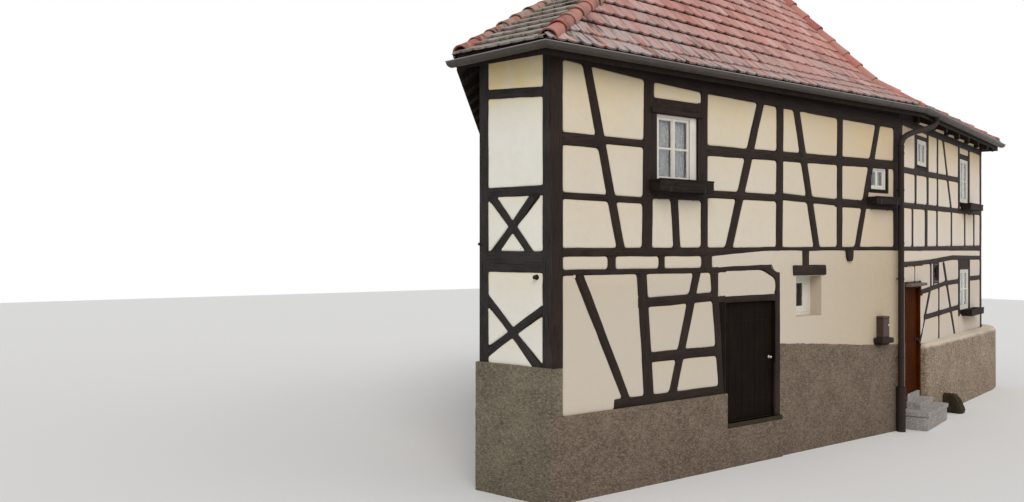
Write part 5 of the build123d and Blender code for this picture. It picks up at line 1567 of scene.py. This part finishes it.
def rain_pipe():
    """Outlet, swan neck, downpipe with its collars and clamps, and a thicker standpipe."""
    bm = bmesh.new()
    foot = WALLS[FRONT] @ Vector((PIPE_PLACE, -PIPE_OUT, 0))
    outlet = WALLS[LANE] @ Vector((1.15, -0.40, 0))

    def at(share, z):
        p = outlet.lerp(foot, share)
        return Vector((p.x, p.y, z))

    add_tube(bm, catmull([at(*p) for p in ((0, 6.125), (0, 6.03), (0.10, 5.93), (0.36, 5.84), (0.66, 5.755),
                                           (0.90, 5.64), (1, 5.50), (1, 5.36))]), PIPE_RADIUS, 28)
    for share, heights, radius, sides in (
            (1, (5.38, 0.84), PIPE_RADIUS, 28), (0, (6.14, 6.06), 0.066, 28), (1, (5.46, 5.41), 0.060, 28),
            (1, (5.34, 5.29), 0.060, 28), (1, (3.62, 3.57), 0.060, 28), (1, (0.85, 0.80, 0.0), 0.082, 32),
            (1, (0.85, 0.80), 0.086, 32)):
        add_tube(bm, [at(share, z) for z in heights], radius, sides)
    bm.faces.new(new_ring(bm, circle(at(1, 0.8495), Vector((1, 0, 0)), Vector((0, 1, 0)), 0.084, 32)))
    for z in (1.40, 2.90, 4.60):
        add_tube(bm, [at(1, z), at(1, z + 0.03)], 0.061, 28)
        add_box(bm, WALLS[FRONT], (PIPE_PLACE, -PIPE_OUT, z + 0.006), (PIPE_PLACE + 0.03, 0.0, z + 0.024),
                0.002, 1)
        for ear in (PIPE_PLACE - 0.051, PIPE_PLACE + 0.081):
            add_box(bm, WALLS[FRONT], (ear - 0.008, -0.104, z), (ear + 0.008, -0.096, z + 0.03), 0.001, 1)
    piece = add_piece("rain_pipe", bm, PIPE_METAL, smooth=40)
    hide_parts("downpipe")


def fascia_boards():
    bm = bmesh.new()
    sweep_eave(bm, [(0.003, 6.150), (0.006, 6.150), (0.006, 6.268), (0.003, 6.268)])
    sweep_eave(bm, [(0.002, 6.030), (0.009, 6.030), (0.009, 6.264), (0.002, 6.264)], (3, 4, 5, 0))
    add_piece("fascia_boards", bm, TIMBER_SOLID, smooth=30)


rain_pipe()
fascia_boards()
boxes("entrance_tread", LANE, [((0.60, -0.003, 0.47), (1.50, 0.046, 0.5945), 0.002, 0)], STONE_STEP)


def underside(wall, along, out):
    """Height of the roof's underside outside a wall."""
    start = WALLS[wall] @ Vector((along, -out, 3.0))
    hit, point, _, _ = nodes_by_name[ROOF_NODES[wall]].ray_cast(start, Vector((0, 0, 1)))
    return point.z if hit else None


# Rafter tails that show over the lane, along its wall in metres
LANE_TAILS = (0.32, 1.45, 2.50, 3.66, 4.63, 5.68, 6.75, 7.40)
TAIL_SPACING, TAIL_HALF = 0.93, 0.055


def rafter_tails():
    """Rafter tails under the eaves, from the wall to the fascia."""
    bm = bmesh.new()
    for wall, length, reach in ((LANE, LANE_LENGTH, 0.305), (END, END_LENGTH, 0.305),
                                (REAR, (E - F).length, 0.205), (REAR_LEFT, (A - E).length, 0.305)):
        count = round(length / TAIL_SPACING)
        places = [length * (k + 0.5) / count + 0.05 * rough(k * 3.3, wall) for k in range(count)]
        for s in LANE_TAILS if wall == LANE else places:
            inner, outer = underside(wall, s, 0.005), underside(wall, s, reach)
            if inner is None or outer is None:
                continue
            sides = [new_ring(bm, [WALLS[wall] @ Vector((s + dx, y, z)) for y, z in
                                   ((0.01, inner + 0.01), (-reach, outer + 0.01), (-reach, outer - 0.09),
                                    (0.01, inner - 0.13))]) for dx in (-TAIL_HALF, TAIL_HALF)]
            for ring in sides:
                bm.faces.new(ring)
            loop_faces(bm, sides)
    bmesh.ops.recalc_face_normals(bm, faces=bm.faces)
    bmesh.ops.bevel(bm, geom=bm.edges[:], offset=0.006, segments=1, affect="EDGES")
    add_piece("rafter_tails", bm, TIMBER_SOLID, smooth=30, outward=False)


rafter_tails()
boxes("rafter_boards", LANE, [((start, -0.004, 6.050), (stop, 0.004, 6.245), 0.001, 0)
                              for start, stop in ((1.28, 3.9), (3.9, LANE_LENGTH - 0.02))], PLASTER_LANE)
boxes("rafter_feet", LANE, [((s - 0.09, -0.075, 6.035), (s + 0.09, 0.0, 6.22), 0.008, 1)
                            for s in (1.16,) + LANE_TAILS[2:]], TIMBER_SOLID)


# Rear sides: the same timbers and plaster as the street walls

CORNER_POST, BAY, POST_HALF, RAIL_HALF, BRACE = 200, 1500, 80, 60, 140
UPPER_PANELS_TOP = 6000


def rear_frame(wall, name):
    length = (CORNERS[(wall + 1) % 6] - CORNERS[wall]).length * 1000
    start, stop = CORNER_POST, length - CORNER_POST
    bays = round(length / BAY)
    step = (stop - start) / bays
    items = []
    for z0, z1, head in ((BASE_TOP, STOREY_LINE, 200), (STOREY_LINE, PLATE_TOP, 330)):
        top = min(z1, UPPER_PANELS_TOP)
        middle = (z0 + top) / 2
        items += [(8.5, level(z0, z0 + 2 * RAIL_HALF, start, stop)), (8.5, level(z1 - head, z1, start, stop))]
        posts = [start + i * step for i in range(1, bays)]
        items += [(8, post(at - POST_HALF, at + POST_HALF, z0, z1)) for at in posts]
        items += [(7.5, level(middle - RAIL_HALF, middle + RAIL_HALF, start, stop)),
                  (6.5, slant(start + 100, z0, start + step - 100, top - 150, BRACE)),
                  (6.5, slant(stop - 100, z0, stop - step + 100, top - 150, BRACE))]
    items += [(8.8, post(left, right, BASE_TOP, PLATE_TOP)) for left, right in
              ((-7, 210), (length - 210, length + 7))]
    timbers("timbers_" + name, wall, TIMBER, items)
    plaster_panels("plaster_" + name, "infill_rear", wall, PLASTER)


for wall, name in ((END, "end"), (REAR, "rear"), (REAR_LEFT, "rear_left")):
    rear_frame(wall, name)
fitted_knobs("left_wall_iron", LEFT, [((1.06, -0.006, 3.09), 0.030, 0.07), ((0.02, -0.006, 3.55), 0.022, 0.05)],
             IRON)


# Materials of the frame's own nodes

NODE_MATERIALS = {
    STONE: "plinth_front plinth_rear",
    STONE_LEFT: "plinth_left",
    STONE_PALE: "plinth_lane",
    STONE_DARK: "thresholds",
    STONE_STEP: "entrance_steps entrance_canopy",
    STONE_MOSS: "guard_stone",
    RENDER: "masonry_front",
    TIMBER_SOLID: "frame_front_lower frame_front_upper frame_left frame_lane_lower frame_lane_upper frame_rear"
                  " corner_posts",
    PLASTER: "infill_front_lower infill_front_upper infill_lane_lower infill_lane_upper infill_rear"
             " infill_over_doors",
    PLASTER_COOL: "infill_left",
    BOARDS: "ground_floor upper_floor attic_floor",
    STABLE_WOOD: "stable_door stable_door_frame",
    ENTRANCE_WOOD: "entrance_door entrance_frame",
    IRON: "door_pintles mailbox",
    WINDOW_PAINT: "window_frames_front window_frames_lane",
    GLASS: "window_panes_front window_panes_lane",
    TILES_RED: "roof_front roof_lane roof_end roof_rear roof_rear_left",
    TILES_GREY: "roof_left",
    GUTTER_METAL: "gutter downpipe",
    BOX_WOOD: "window_boxes",
}
for material, names in NODE_MATERIALS.items():
    for name in names.split():
        node = nodes_by_name[name]
        if not node.data.materials:
            node.data.materials.append(material)
        for slot_item in node.material_slots:
            slot_item.material = material

# Undersides of the roof: boards over the lane, dark timber elsewhere
for name in ROOF_NODES:
    mesh = nodes_by_name[name].data
    mesh.materials.append(TIMBER_SOLID)
    mesh.materials.append(SOFFIT)
    for polygon in mesh.polygons:
        if polygon.normal.z < 0.2:
            polygon.material_index = 2 if name == "roof_lane" and polygon.normal.z < -0.8 else 1

# Street faces of the panel solids, dark in the joints between plaster and timber
for name, wall in (("infill_front_lower", FRONT), ("infill_front_upper", FRONT), ("infill_left", LEFT),
                   ("infill_lane_lower", LANE), ("infill_lane_upper", LANE)):
    mesh = nodes_by_name[name].data
    mesh.materials.append(TIMBER_SOLID)
    for polygon in mesh.polygons:
        if polygon.normal.dot(OUTWARD[wall]) > 0.9:
            polygon.material_index = 1


# Floor, lights and camera

def place(name, data):
    obj = bpy.data.objects.new(name, data)
    bpy.context.collection.objects.link(obj)
    return obj


FLOOR_REACH = 60


def stage_floor():
    bm = bmesh.new()
    bmesh.ops.create_grid(bm, x_segments=1, y_segments=1, size=FLOOR_REACH)
    mesh = bpy.data.meshes.new("floor")
    bm.to_mesh(mesh)
    bm.free()
    mesh.materials.append(Maker("pale_floor", 0.9).done((0.72, 0.71, 0.69)))
    floor = place("floor", mesh)


def sun(name, strength, angle, direction, colour):
    light = bpy.data.lights.new(name, "SUN")
    light.energy = strength
    light.angle = math.radians(angle)
    light.color = colour
    place(name, light).rotation_euler = Vector(direction).to_track_quat("-Z", "Y").to_euler()


stage_floor()
sun("key", 1.5, 35, (0.55, 0.75, -0.75), (1.0, 0.97, 0.93))
sun("fill", 0.5, 60, (-0.7, 0.6, -0.5), (0.93, 0.96, 1.0))


def light_world(world):
    """A soft sky, seen as plain white by the camera and in glass and metal."""
    world.use_nodes = True
    tree = world.node_tree
    sky = tree.nodes["Background"]
    white, rays, mixer = (tree.nodes.new("ShaderNode" + kind)
                          for kind in ("Background", "LightPath", "MixShader"))
    for node, colour, strength in ((sky, (0.93, 0.95, 1.0, 1.0), 0.62), (white, (1.0, 1.0, 1.0, 1.0), 1.0)):
        node.inputs["Color"].default_value = colour
        node.inputs["Strength"].default_value = strength
    seen = rays.outputs["Is Camera Ray"]
    for kind in ("Is Transmission Ray", "Is Glossy Ray"):
        either = tree.nodes.new("ShaderNodeMath")
        either.operation = "MAXIMUM"
        tree.links.new(seen, either.inputs[0])
        tree.links.new(rays.outputs[kind], either.inputs[1])
        seen = either.outputs[0]
    for number, source in enumerate((seen, sky.outputs[0], white.outputs[0])):
        tree.links.new(source, mixer.inputs[number])
    tree.links.new(mixer.outputs[0], tree.nodes["World Output"].inputs["Surface"])


scene = bpy.context.scene
scene.world = bpy.data.worlds.new("studio")
light_world(scene.world)
scene.view_settings.view_transform = "Standard"

# The photo's camera: its focal length in pixels of a picture 1024 wide, its place and its bearing
FOCAL_PIXELS, PICTURE_WIDTH, SENSOR, BEARING = 930.0, 1024.0, 36.0, 52.5
camera_data = bpy.data.cameras.new("camera")
camera_data.sensor_width = SENSOR
camera_data.lens = SENSOR * FOCAL_PIXELS / PICTURE_WIDTH
camera_data.clip_end = 200.0
camera = place("camera", camera_data)
scene.camera = camera
camera.location = (-8.09, -9.676, 3.45)
camera.rotation_euler = (math.radians(90), 0, math.radians(BEARING - 90))
